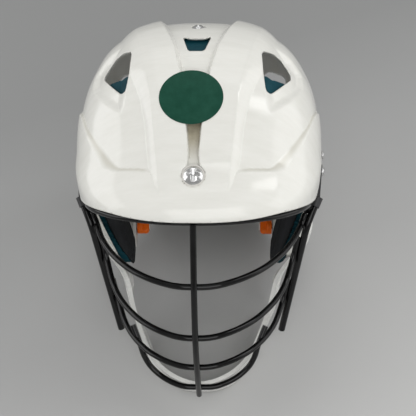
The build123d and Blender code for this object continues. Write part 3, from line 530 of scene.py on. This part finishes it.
def comfort_field(spec):
    """Soft foam pad: a pressed flange round a crowned middle with pressed lines across it."""
    def field(p):
        a, b, out, edge = pad_places(p, spec)
        e = envelope(p)
        inner = edge + FOAM_MARGIN
        seat = liner_depth(edge) + SEAT_GAP
        middle = ease((-inner - FOAM_FLAT) / FOAM_RAMP)
        lines = [grooves(along, SEWN_PITCH, SEWN_WIDTH) for along in (a, b)]
        line = np.maximum(*lines) * middle
        crown = (FOAM_END - LINER_END - FOAM_MARGIN) * middle
        d = smooth_max(inner, e + seat, FOAM_EDGE_ROUND)
        d = smooth_max(d, -(e + seat + FOAM_FLANGE + crown - SEWN_DEPTH * line), FOAM_FACE_ROUND)
        return np.maximum(d, LEAST_REACH - out)
    return field


def jaw_backing_field(p):
    """Teal block behind the jaw pad, with a scalloped edge and room for the guard's nuts."""
    f, z = p[..., 1], p[..., 2]
    turn = np.arctan2(z - SCALLOP_HEIGHT, (f - SCALLOP_AHEAD) * SCALLOP_STRETCH)
    edge = outline(JAW_LINE, f, z) + BACKING_MARGIN + SCALLOP_DEPTH * (1 - np.cos(SCALLOPS * turn)) / 2
    e = envelope(p)
    d = smooth_max(smooth_max(edge, e + BACKING_START, BACKING_ROUND), -(e + BACKING_END), BACKING_ROUND)
    for seat in NUT_SEATS:
        d = smooth_max(d, NUT_ROOM - across_seat(p, seat)[0], NUT_ROOM_ROUND)
    return np.maximum(d, LEAST_REACH - p[..., 0])


def jaw_pad_field(p):
    """Thick jaw pad: it follows its backing, and its crowned inner face leans in towards the foot."""
    x, f, z = p[..., 0], p[..., 1], p[..., 2]
    edge = outline(JAW_LINE, f, z) + JAW_MARGIN
    cross = pressed(z - JAW_SEAM_HEIGHT, CROSS_SEAM_WIDTH)
    seam = np.minimum(cross + pressed(edge + JAW_SEAM_INSET, RIM_SEAM_WIDTH), 1)
    room = JAW_ROOM + JAW_LEAN * (z - JAW_MIDDLE) + JAW_FLAT
    inside = room + JAW_CROWN * (1 - ease(-edge / JAW_CROWN_REACH)) + JAW_SEAM_DEPTH * seam - x
    d = smooth_max(edge + JAW_SEAM_NOTCH * cross, inside, JAW_FACE_ROUND)
    return smooth_max(d, envelope(p) + BACKING_END + SEAT_GAP, JAW_SEAT_ROUND)


def cradle_pad_field(p):
    """Foam strip round the inside of the rear cradle, crowned inwards, with upright sewn lines."""
    x, f, z = p[..., 0], p[..., 1], p[..., 2] - CRADLE_HEIGHT
    inside = -outline(CRADLE_LINE, x, f)
    turn = np.degrees(np.arctan2(x, STRIP_TURN_CENTRE - f))
    crown = ease((STRIP_CROWN_HALF - np.abs(z)) / STRIP_CROWN_REACH)
    line = grooves(turn, STRIP_LINE_TURN, STRIP_LINE_WIDTH) * crown
    thick = STRIP_EDGE + STRIP_CROWN * crown - STRIP_LINE_DEPTH * line
    d = smooth_max(STRIP_START - inside, inside - thick, STRIP_EDGE_ROUND)
    d = smooth_max(d, np.abs(z) - STRIP_HALF_HEIGHT, STRIP_SIDE_ROUND)
    return smooth_max(d, f - STRIP_FRONT, STRIP_SIDE_ROUND)


# Knobs and front screw

def knob_field(p):
    """Lock knob: a round collar and a domed grip, pinched on two sides, bored for its pin."""
    x, f, z = p[..., 0] - KNOB[0], p[..., 1] - KNOB[1], p[..., 2] - KNOB[2]
    off = np.hypot(f, z)
    pinch = np.abs(f * math.cos(PINCH_TURN) + z * math.sin(PINCH_TURN)) - KNOB_HALF_PINCH
    dome = smooth_max(smooth_max(off - KNOB_RADIUS, KNOB_TIP - x, DOME_ROUND), pinch, GRIP_ROUND)
    collar = smooth_max(off - KNOB_RADIUS, KNOB_COLLAR_START - x, GRIP_ROUND)
    d = smooth_min(dome, collar, NECK_ROUND)
    d = smooth_max(d, x - KNOB_LENGTH, KNOB_END_ROUND)
    return np.maximum(d, KNOB_BORE_RADIUS - off)


def front_screw_field(p):
    """Truss-head screw through the brim, with a cross recess."""
    spot, normal = FRONT_SEAT
    off, h = across_seat(p, FRONT_SEAT)
    q = p - spot
    a = np.abs(q[..., 0])
    b = np.abs(q @ np.cross(normal, (1.0, 0, 0)))
    cap = np.sqrt(off * off + (h + SCREW_BASE) ** 2) - SCREW_ROUND
    head = smooth_max(cap, SCREW_SEAT - h, SCREW_EDGE_ROUND)
    wide = RECESS_HALF_WIDTH + RECESS_TAPER * np.maximum(h - RECESS_TAPER_START, 0)
    arms = np.minimum(np.maximum(a - wide, b - RECESS_REACH), np.maximum(b - wide, a - RECESS_REACH))
    floor = RECESS_FLOOR + RECESS_SLOPE * np.maximum(a, b) - h
    head = smooth_max(head, -np.maximum(arms, floor), RECESS_ROUND)
    shank = np.maximum(np.maximum(off - SHANK_RADIUS, SHANK_LOW - h), h - SHANK_HIGH)
    return np.minimum(head, shank)


def mirrored_field(field):
    """The same piece on the other side."""
    def other(p):
        q = np.array(p, float)
        q[..., 0] *= -1
        return field(q)
    return other


def surface(field, low, high, step, coarse=None):
    """Quads of a field's zero surface over a box, moved onto it. A coarse field may limit the search."""
    low, high = np.array(low, float), np.array(high, float)
    n = np.ceil((high - low) / step).astype(int) + 1
    axes = [low[i] + step * np.arange(n[i]) for i in range(3)]
    values = np.empty(n, np.float32)
    near = coarse or field
    for i in range(n[0]):
        plane = np.stack(np.meshgrid([axes[0][i]], axes[1], axes[2], indexing="ij"), -1)[0]
        v = near(plane)
        if coarse:
            v = np.abs(v)
            pick = v < COARSE_REACH
            if pick.any():
                v[pick] = field(plane[pick])
        values[i] = v
    inside = values < 0
    corners = [(a, b, c) for a in (0, 1) for b in (0, 1) for c in (0, 1)]

    def part(array, a, b, c):
        return array[a:n[0] - 1 + a, b:n[1] - 1 + b, c:n[2] - 1 + c]

    count = sum(part(inside, *c).astype(np.int8) for c in corners)
    cells = (count > 0) & (count < 8)
    index = np.full(cells.shape, -1, np.int64)
    index[cells] = np.arange(cells.sum())
    where = np.argwhere(cells)
    total = np.zeros((len(where), 3))
    hits = np.zeros(len(where))
    for axis in range(3):
        others = [a for a in range(3) if a != axis]
        for u in (0, 1):
            for v in (0, 1):
                c0 = [0, 0, 0]
                c0[others[0]], c0[others[1]] = u, v
                c1 = list(c0)
                c1[axis] = 1
                a = values[where[:, 0] + c0[0], where[:, 1] + c0[1], where[:, 2] + c0[2]]
                b = values[where[:, 0] + c1[0], where[:, 1] + c1[1], where[:, 2] + c1[2]]
                cross = (a < 0) != (b < 0)
                t = np.where(cross, a / np.where(cross, a - b, 1), 0)
                spot = np.tile(np.array(c0, float), (len(where), 1))
                spot[:, axis] = t
                total += spot * cross[:, None]
                hits += cross
    verts = low + (where + total / hits[:, None]) * step
    faces = []
    for axis in range(3):
        b, c = (axis + 1) % 3, (axis + 2) % 3
        here = [slice(None)] * 3
        ahead = [slice(None)] * 3
        here[axis], ahead[axis] = slice(0, n[axis] - 1), slice(1, n[axis])
        change = inside[tuple(here)] != inside[tuple(ahead)]
        spots = np.argwhere(change)
        ok = (spots[:, b] > 0) & (spots[:, c] > 0) & (spots[:, b] < n[b] - 1) & (spots[:, c] < n[c] - 1)
        spots = spots[ok]
        first = inside[tuple(spots.T)]
        ring = []
        for db, dc in ((-1, -1), (0, -1), (0, 0), (-1, 0)):
            q = spots.copy()
            q[:, b] += db
            q[:, c] += dc
            ring.append(index[tuple(q.T)])
        ring = np.stack(ring, 1)
        ring[~first] = ring[~first][:, ::-1]
        faces.append(ring)
    faces = np.concatenate(faces)
    for _ in range(NEWTON_ROUNDS):
        g = gradient(field, verts)
        move = field(verts)[:, None] * g / np.maximum((g * g).sum(1), LEAST_SLOPE)[:, None]
        length = np.linalg.norm(move, axis=1)
        verts = verts - move * np.minimum(1, LONGEST_MOVE * step / np.maximum(length, 1e-9))[:, None]
    return verts, faces


def to_frame(p):
    """Millimetres from the head's axis to metres in the row's frame."""
    p = np.asarray(p, float)
    return np.stack([p[..., 0], CENTRING - p[..., 1], p[..., 2]], -1) / MM


def mesh_object(name, verts, faces, material, normals):
    """Smooth-shaded object from points in millimetres."""
    mesh = bpy.data.meshes.new(name)
    faces = np.asarray(faces)
    mesh.vertices.add(len(verts))
    mesh.vertices.foreach_set("co", to_frame(verts).astype(np.float32).ravel())
    mesh.loops.add(faces.size)
    mesh.loops.foreach_set("vertex_index", faces[:, ::-1].astype(np.int32).ravel())
    mesh.polygons.add(len(faces))
    mesh.polygons.foreach_set("loop_start", (np.arange(len(faces)) * faces.shape[1]).astype(np.int32))
    mesh.update(calc_edges=True)
    mesh.validate()
    mesh.polygons.foreach_set("use_smooth", np.ones(len(mesh.polygons), bool))
    n = np.stack([normals[:, 0], -normals[:, 1], normals[:, 2]], -1)
    n /= np.maximum(np.linalg.norm(n, axis=1), 1e-9)[:, None]
    mesh.normals_split_custom_set_from_vertices([tuple(v) for v in n])
    obj = bpy.data.objects.new(name, mesh)
    bpy.context.scene.collection.objects.link(obj)
    mesh.materials.append(material)
    return obj


# Materials

class Nodes:
    """Short way to build a material's nodes."""

    def __init__(self, name, colour, roughness, **more):
        self.mat = bpy.data.materials.new(name)
        self.mat.use_nodes = True
        self.tree = self.mat.node_tree
        self.shader = self.tree.nodes["Principled BSDF"]
        self.feed(colour, self.shader.inputs["Base Color"])
        self.feed(roughness, self.shader.inputs["Roughness"])
        for key, value in more.items():
            self.feed(value, self.shader.inputs[key.replace("_", " ")])
        self.place = self.tree.nodes.new("ShaderNodeTexCoord").outputs["Object"]

    def feed(self, value, target):
        """Sets an input to a number or a colour, or links another node's output to it."""
        if isinstance(value, (float, int)):
            target.default_value = value
        elif isinstance(value, tuple):
            target.default_value = (*value, 1)
        else:
            self.tree.links.new(value, target)

    def noise(self, scale, detail, rough, stretch=None, turn=None):
        """Noise over the object: waves in a metre, levels of detail and their share, stretch and turn."""
        n = self.tree.nodes.new("ShaderNodeTexNoise")
        n.inputs["Scale"].default_value = scale
        n.inputs["Detail"].default_value = detail
        n.inputs["Roughness"].default_value = rough
        place = self.place
        if stretch:
            m = self.tree.nodes.new("ShaderNodeMapping")
            m.inputs["Scale"].default_value = stretch
            if turn:
                m.inputs["Rotation"].default_value = turn
            self.tree.links.new(place, m.inputs["Vector"])
            place = m.outputs["Vector"]
        self.tree.links.new(place, n.inputs["Vector"])
        return n.outputs["Fac"]

    def cells(self, scale):
        n = self.tree.nodes.new("ShaderNodeTexVoronoi")
        n.inputs["Scale"].default_value = scale
        self.tree.links.new(self.place, n.inputs["Vector"])
        return n.outputs["Distance"]

    def ramp(self, fac, stops):
        """Colours along a value from 0 to 1: each stop is a place on it and a colour."""
        n = self.tree.nodes.new("ShaderNodeValToRGB")
        el = n.color_ramp.elements
        el[0].position, el[0].color = stops[0][0], (*stops[0][1], 1)
        el[1].position, el[1].color = stops[-1][0], (*stops[-1][1], 1)
        for pos, col in stops[1:-1]:
            e = el.new(pos)
            e.color = (*col, 1)
        self.tree.links.new(fac, n.inputs["Fac"])
        return n.outputs["Color"]

    def mix(self, fac, a, b):
        """Colour between a, where the factor is 0, and b, where it is 1."""
        n = self.tree.nodes.new("ShaderNodeMix")
        n.data_type = "RGBA"
        colours = [i for i in n.inputs if i.type == "RGBA"]
        factor = [i for i in n.inputs if i.name == "Factor"]
        for value, target in ((fac, factor[0]), (a, colours[0]), (b, colours[1])):
            self.feed(value, target)
        return [o for o in n.outputs if o.type == "RGBA"][0]

    def maths(self, op, a, b):
        n = self.tree.nodes.new("ShaderNodeMath")
        n.operation = op
        self.feed(a, n.inputs[0])
        self.feed(b, n.inputs[1])
        return n.outputs[0]

    def link(self, out, name):
        self.tree.links.new(out, self.shader.inputs[name])

    def mask(self, name):
        """Value of a mask that is stored on the mesh's points."""
        n = self.tree.nodes.new("ShaderNodeAttribute")
        n.attribute_name = name
        return n.outputs["Fac"]

    def bump(self, height, strength, distance):
        """Fine relief in the shading: its strength from 0 to 1, and its depth in metres."""
        n = self.tree.nodes.new("ShaderNodeBump")
        n.inputs["Strength"].default_value = strength
        n.inputs["Distance"].default_value = distance
        self.tree.links.new(height, n.inputs["Height"])
        self.tree.links.new(n.outputs["Normal"], self.shader.inputs["Normal"])


def grey(v):
    return (v, v, v)


def shell_material():
    """White gloss polycarbonate: faint scuffs, the channel darkened by dust and painted shade, facets
    darkened by painted shade with a yellowish tint, chips along the edge.
    """
    m = Nodes("white_shell", (0.83, 0.83, 0.80), 0.16)
    scuff = m.noise(26, 8, 0.7, (1, 5, 1), (0.3, 0.2, 0.7))
    marks = m.noise(150, 3, 0.6, (1, 9, 1), (0.5, 0.9, 0.2))
    tint = m.ramp(scuff, [(0.3, (0.80, 0.795, 0.745)), (0.62, (0.845, 0.84, 0.795))])
    dirt = m.ramp(marks, [(0.69, grey(0)), (0.75, grey(1))])
    tint = m.mix(m.maths("MULTIPLY", dirt, 0.12), tint, (0.50, 0.48, 0.44))
    # Channel floor colour: part dust, part painted shade where the recess is shaded
    dust_and_shade = m.ramp(m.noise(70, 6, 0.65), [(0.32, (0.27, 0.24, 0.17)), (0.68, (0.45, 0.41, 0.31))])
    # Facets painted darker and yellower: painted shade where the sloping facets catch less light, with a
    # yellowish tint
    tint = m.mix(m.maths("MULTIPLY", m.mask("facet"), 0.9), tint, (0.67, 0.655, 0.585))
    tint = m.mix(m.mask("floor"), tint, dust_and_shade)
    chips = m.ramp(m.noise(330, 3, 0.6), [(0.60, grey(0)), (0.66, grey(1))])
    tint = m.mix(m.maths("MULTIPLY", m.mask("edge"), chips), tint, (0.30, 0.29, 0.28))
    m.link(tint, "Base Color")
    m.link(m.ramp(scuff, [(0.35, grey(0.09)), (0.7, grey(0.2))]), "Roughness")
    m.bump(m.noise(40, 3, 0.5), 0.02, 0.0006)
    return m.mat


def guard_material():
    """The chin guard's white plastic, a little rubbed."""
    m = Nodes("white_guard", (0.80, 0.80, 0.775), 0.24)
    scuff = m.noise(34, 8, 0.7, (1, 1, 6), (0.2, 0.4, 0.1))
    m.link(m.ramp(scuff, [(0.3, (0.765, 0.765, 0.74)), (0.62, (0.82, 0.82, 0.79))]), "Base Color")
    m.link(m.ramp(scuff, [(0.35, grey(0.18)), (0.7, grey(0.34))]), "Roughness")
    m.bump(m.noise(60, 3, 0.5), 0.03, 0.0005)
    return m.mat


def wire_material():
    """Black dip coating over steel wire, dulled where it rubs."""
    m = Nodes("black_wire", (0.003, 0.003, 0.0035), 0.1, Specular_IOR_Level=0.3)
    wear = m.noise(60, 5, 0.6)
    m.link(m.ramp(wear, [(0.45, (0.002, 0.002, 0.0022)), (0.8, (0.008, 0.008, 0.0085))]), "Base Color")
    m.link(m.ramp(wear, [(0.4, grey(0.05)), (0.8, grey(0.16))]), "Roughness")
    m.bump(m.noise(220, 2, 0.5), 0.08, 0.0003)
    return m.mat


def steel_material(name, tone, low, high):
    """Plated steel, finely brushed."""
    m = Nodes(name, (tone, tone, tone * 0.985), 0.3, Metallic=1.0)
    wear = m.noise(300, 4, 0.6, (1, 6, 1))
    m.link(m.ramp(wear, [(0.35, grey(tone * 0.86)), (0.7, grey(tone * 1.08))]), "Base Color")
    m.link(m.ramp(wear, [(0.3, grey(low)), (0.7, grey(high))]), "Roughness")
    return m.mat


def plastic_material(name, colour, roughness, gleam=0.5):
    """Moulded plastic with a fine texture."""
    m = Nodes(name, colour, roughness, Specular_IOR_Level=gleam)
    tone = m.noise(35, 4, 0.6)
    dark = tuple(c * 0.86 for c in colour)
    m.link(m.ramp(tone, [(0.35, dark), (0.65, colour)]), "Base Color")
    m.link(m.ramp(tone, [(0.3, grey(roughness * 0.85)), (0.7, grey(roughness * 1.15))]), "Roughness")
    m.bump(m.noise(900, 3, 0.6), 0.12, 0.0003)
    return m.mat


def foam_material(name, colour):
    """Brushed cloth laminated over foam: a fine knit in a dull face."""
    m = Nodes(name, colour, 0.9, Specular_IOR_Level=0.25)
    knit = m.cells(900)
    tone = m.noise(50, 5, 0.6)
    light = tuple(c * 1.5 for c in colour)
    dark = tuple(c * 0.45 for c in colour)
    shade = m.ramp(tone, [(0.3, colour), (0.7, light)])
    m.link(m.mix(m.ramp(knit, [(0.1, grey(1)), (0.4, grey(0))]), shade, dark), "Base Color")
    m.bump(knit, 0.35, 0.0004)
    return m.mat


def teal_material():
    """Firm teal rubber cushion."""
    m = Nodes("teal_cushion", (0.003, 0.04, 0.056), 0.5, Specular_IOR_Level=0.15)
    tone = m.noise(45, 4, 0.6)
    m.link(m.ramp(tone, [(0.3, (0.002, 0.034, 0.046)), (0.7, (0.004, 0.06, 0.082))]), "Base Color")
    m.bump(m.noise(500, 2, 0.5), 0.08, 0.0004)
    return m.mat


def label_material():
    """Green vinyl sticker with a slightly rubbed face."""
    m = Nodes("label", (0.010, 0.062, 0.040), 0.42, Specular_IOR_Level=0.15)
    rub = m.noise(120, 6, 0.65)
    m.link(m.ramp(rub, [(0.35, (0.008, 0.058, 0.036)), (0.72, (0.013, 0.078, 0.050))]), "Base Color")
    m.link(m.ramp(rub, [(0.3, grey(0.3)), (0.7, grey(0.46))]), "Roughness")
    m.bump(m.noise(60, 3, 0.5), 0.05, 0.0004)
    return m.mat


WHITE = shell_material()
GUARD = guard_material()
BLACK = wire_material()
STEEL = steel_material("steel", 0.60, 0.2, 0.42)
CHROME = steel_material("chrome", 0.72, 0.10, 0.24)
NYLON = plastic_material("white_nylon", (0.74, 0.72, 0.68), 0.45)
DARK = plastic_material("dark_plastic", (0.02, 0.02, 0.022), 0.42)
ORANGE = plastic_material("orange_plastic", (1.0, 0.17, 0.005), 0.4, 0.25)
FOAM = foam_material("dark_foam", (0.016, 0.017, 0.019))
TEAL = teal_material()
LABEL = label_material()


def paint(node, material):
    mesh = nodes[node].data
    mesh.materials.clear()
    mesh.materials.append(material)


for name in nodes:
    if name.endswith("_bar") or name.startswith(("side_bar", "brow_tab")):
        paint(name, BLACK)
    elif name == "top_screw":
        paint(name, CHROME)
    elif name == "front_washer":
        paint(name, NYLON)
    elif "screw" in name or "nut" in name or "washer" in name or name == "snap_studs":
        paint(name, STEEL)
    elif name.startswith("side_clip"):
        paint(name, DARK)
    elif name.startswith(("rear_cradle", "cradle_pin")):
        paint(name, NYLON)
    elif name == "size_label":
        paint(name, LABEL)
    elif name == "chin_guard":
        paint(name, GUARD)


# Pieces

def extent(field):
    """Box round a piece's surface, within the helmet's own box."""
    axes = [np.arange(a, b, SEARCH_STEP) for a, b in zip(*SEARCH_BOX)]
    grid = np.stack(np.meshgrid(*axes, indexing="ij"), -1).reshape(-1, 3)
    near = grid[field(grid) < SEARCH_NEAR]
    return near.min(0) - SEARCH_SPARE, near.max(0) + SEARCH_SPARE


def make(name, body, node, slot, material, field, step, box=None, coarse=None):
    """Piece from a field, riding on its body in place of its node."""
    low, high = box or extent(field)
    verts, faces = surface(field, low, high, step, coarse)
    obj = mesh_object(name, verts, faces, material, gradient(field, verts, NORMAL_REACH))
    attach(obj, body)
    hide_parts(node)
    return obj, verts


def attribute(obj, name, values):
    """Stores a mask on the mesh's points."""
    layer = obj.data.attributes.new(name, "FLOAT", "POINT")
    layer.data.foreach_set("value", np.asarray(values, np.float32))


def build_shell():
    """The shell, with masks for the darkening in its channel (part dust, part painted shade), the facets'
    painted shade and yellowish tint, and the chips along its edge.
    """
    step = SHELL_STEP
    obj, verts = make(
        "shell_form", "helmet", "shell", "white_shell", WHITE, shell_field, step, SHELL_BOX, envelope,
    )
    angle = polar(verts)[0]
    x, w, t = sight(verts)
    ax = np.abs(x)
    outside = ease((envelope(verts) - OUTSIDE_START) / OUTSIDE_FADE)
    # Mask where the channel floor is painted darker: part dust, part painted shade
    low = ease((DUST_SHADE_LEVEL - channel(angle, ax, w)) / DUST_SHADE_LEVEL_FADE)
    ends = ease((angle - DUST_SHADE_START) / DUST_SHADE_START_FADE) * ease((DUST_SHADE_FINISH - angle) / DUST_SHADE_FINISH_FADE)
    attribute(obj, "floor", low * ends * outside)
    # Mask for the facets' painted shade and yellowish tint, on their slope between brim and panel
    share = sunk_share(ax, w)
    slope = ease(share / FACET_FOOT_FADE) * ease((1 - share) / FACET_TOP_FADE)
    high = ease((FACET_HIGH_SHARE - w / S) / FACET_HIGH_FADE)
    beside = ease((ax / S - column(BAND, 2, angle)) / FACET_BAND_FADE)
    attribute(obj, "facet", slope * high * beside * ease((t - FACET_START) / FACET_FADE) * outside)
    edge = ease((CHIP_WIDTH - outline(BRIM_LINE, verts[:, 1], verts[:, 2])) / CHIP_WIDTH_FADE)
    attribute(obj, "edge", edge * ease((verts[:, 1] - CHIP_START) / CHIP_START_FADE) * CHIP_SHARE)


def build_cushions():
    """Teal blocks and foam pads inside the shell, the jaw pads and the cradle's pad."""
    cushions = []
    for name, spec in PADS.items():
        cushions.append(("liner_" + name, liner_field(spec), "teal_cushion", TEAL))
        cushions.append(("comfort_" + name, comfort_field(spec), "dark_foam", FOAM))
    cushions.append(("jaw_backing_right", jaw_backing_field, "teal_cushion", TEAL))
    cushions.append(("jaw_pad_right", jaw_pad_field, "dark_foam", FOAM))
    for name, field, slot, material in list(cushions):
        if name.endswith("right"):
            cushions.append((name.replace("right", "left"), mirrored_field(field), slot, material))
    for name, field, slot, material in cushions:
        step = PAD_STEP
        obj = make(name + "_form", "helmet", name, slot, material, field, step)[0]
    obj = make("cradle_pad_form", "cradle", "cradle_pad", "dark_foam", FOAM, cradle_pad_field, PAD_STEP)[0]


def build_small_parts():
    """The lock knobs and the front screw."""
    low, high = KNOB_BOX
    boxes = {"right": KNOB_BOX, "left": ((-high[0], low[1], low[2]), (-low[0], high[1], high[2]))}
    for side, field in (("right", knob_field), ("left", mirrored_field(knob_field))):
        body, node = "knob_" + side, "lock_knob_" + side
        make(body + "_form", body, node, "orange_plastic", ORANGE, field, KNOB_STEP, boxes[side])
    spot = FRONT_SEAT[0]
    box = (spot - SCREW_SPARE, spot + SCREW_SPARE)
    make("front_screw_form", "helmet", "front_screw", "steel", CHROME, front_screw_field, SCREW_STEP, box)


build_shell()
build_cushions()
build_small_parts()


# Floor, camera and lamps

def build_floor():
    """Flat grey floor, a little under the helmet so that their faces don't meet."""
    mesh = bpy.data.meshes.new("floor")
    bm = bmesh.new()
    r = FLOOR_REACH
    bm.faces.new([bm.verts.new((x, y, -FLOOR_DROP)) for x, y in ((-r, -r), (r, -r), (r, r), (-r, r))])
    bm.to_mesh(mesh)
    bm.free()
    obj = bpy.data.objects.new("floor", mesh)
    bpy.context.scene.collection.objects.link(obj)
    m = Nodes("floor", (0.30, 0.30, 0.30), 0.6)
    tone = m.noise(3, 5, 0.55)
    place = m.tree.nodes.new("ShaderNodeSeparateXYZ")
    m.tree.links.new(m.place, place.inputs["Vector"])
    # Painted light: the floor's colour grows lighter from the back left to the front right, as the lamps'
    # falloff would make it
    across = m.maths("MULTIPLY", place.outputs["X"], FLOOR_SLANT)
    along = m.maths("MULTIPLY", place.outputs["Y"], -1.0)
    slant = m.maths("MULTIPLY", m.maths("ADD", across, along), FLOOR_STRETCH)
    shade = m.ramp(m.maths("ADD", slant, FLOOR_MIDDLE), FLOOR_PAINTED_LIGHT)
    m.link(m.mix(m.maths("MULTIPLY", tone, 0.12), shade, (0.22, 0.22, 0.22)), "Base Color")
    m.bump(m.noise(180, 4, 0.6), 0.04, 0.0008)
    mesh.materials.append(m.mat)


def build_camera():
    """Camera at the photograph's angle: well above the helmet, a little to the right, slightly rolled."""
    level = math.cos(ELEVATION)
    back = Vector((math.sin(YAW) * level, -math.cos(YAW) * level, math.sin(ELEVATION)))
    target = Vector((0, CENTRING / MM, TARGET_HEIGHT))
    side = (-back).cross(Vector((0, 0, 1))).normalized()
    rise = side.cross(-back)
    right = side * math.cos(ROLL) + rise * math.sin(ROLL)
    up = -side * math.sin(ROLL) + rise * math.cos(ROLL)
    camera = bpy.data.cameras.new("camera")
    camera.sensor_width = SENSOR
    camera.lens = FOCAL_PIXELS / FRAME_PIXELS * SENSOR
    camera.clip_start = 0.01
    obj = bpy.data.objects.new("camera", camera)
    bpy.context.scene.collection.objects.link(obj)
    obj.matrix_world = Matrix((right, up, back)).transposed().to_4x4()
    obj.location = target + back * CAMERA_DISTANCE + right * (SHIFT_PIXELS / FOCAL_PIXELS * CAMERA_DISTANCE)
    bpy.context.scene.camera = obj


def build_lamp(name, place, aim, width, length, power):
    """Soft rectangular lamp, turned towards a height over the origin."""
    data = bpy.data.lights.new(name, "AREA")
    data.shape = "RECTANGLE"
    data.size, data.size_y = width, length
    data.energy = power
    obj = bpy.data.objects.new(name, data)
    bpy.context.scene.collection.objects.link(obj)
    obj.location = place
    obj.rotation_euler = (Vector((0, 0, aim)) - Vector(place)).to_track_quat("-Z", "Y").to_euler()


build_floor()
build_camera()
for lamp in LAMPS:
    build_lamp(*lamp)
world = bpy.data.worlds.new("studio")
world.use_nodes = True
background = world.node_tree.nodes["Background"]
background.inputs["Color"].default_value = WORLD_COLOUR
background.inputs["Strength"].default_value = WORLD_STRENGTH
bpy.context.scene.world = world
bpy.context.scene.view_settings.view_transform = "Standard"
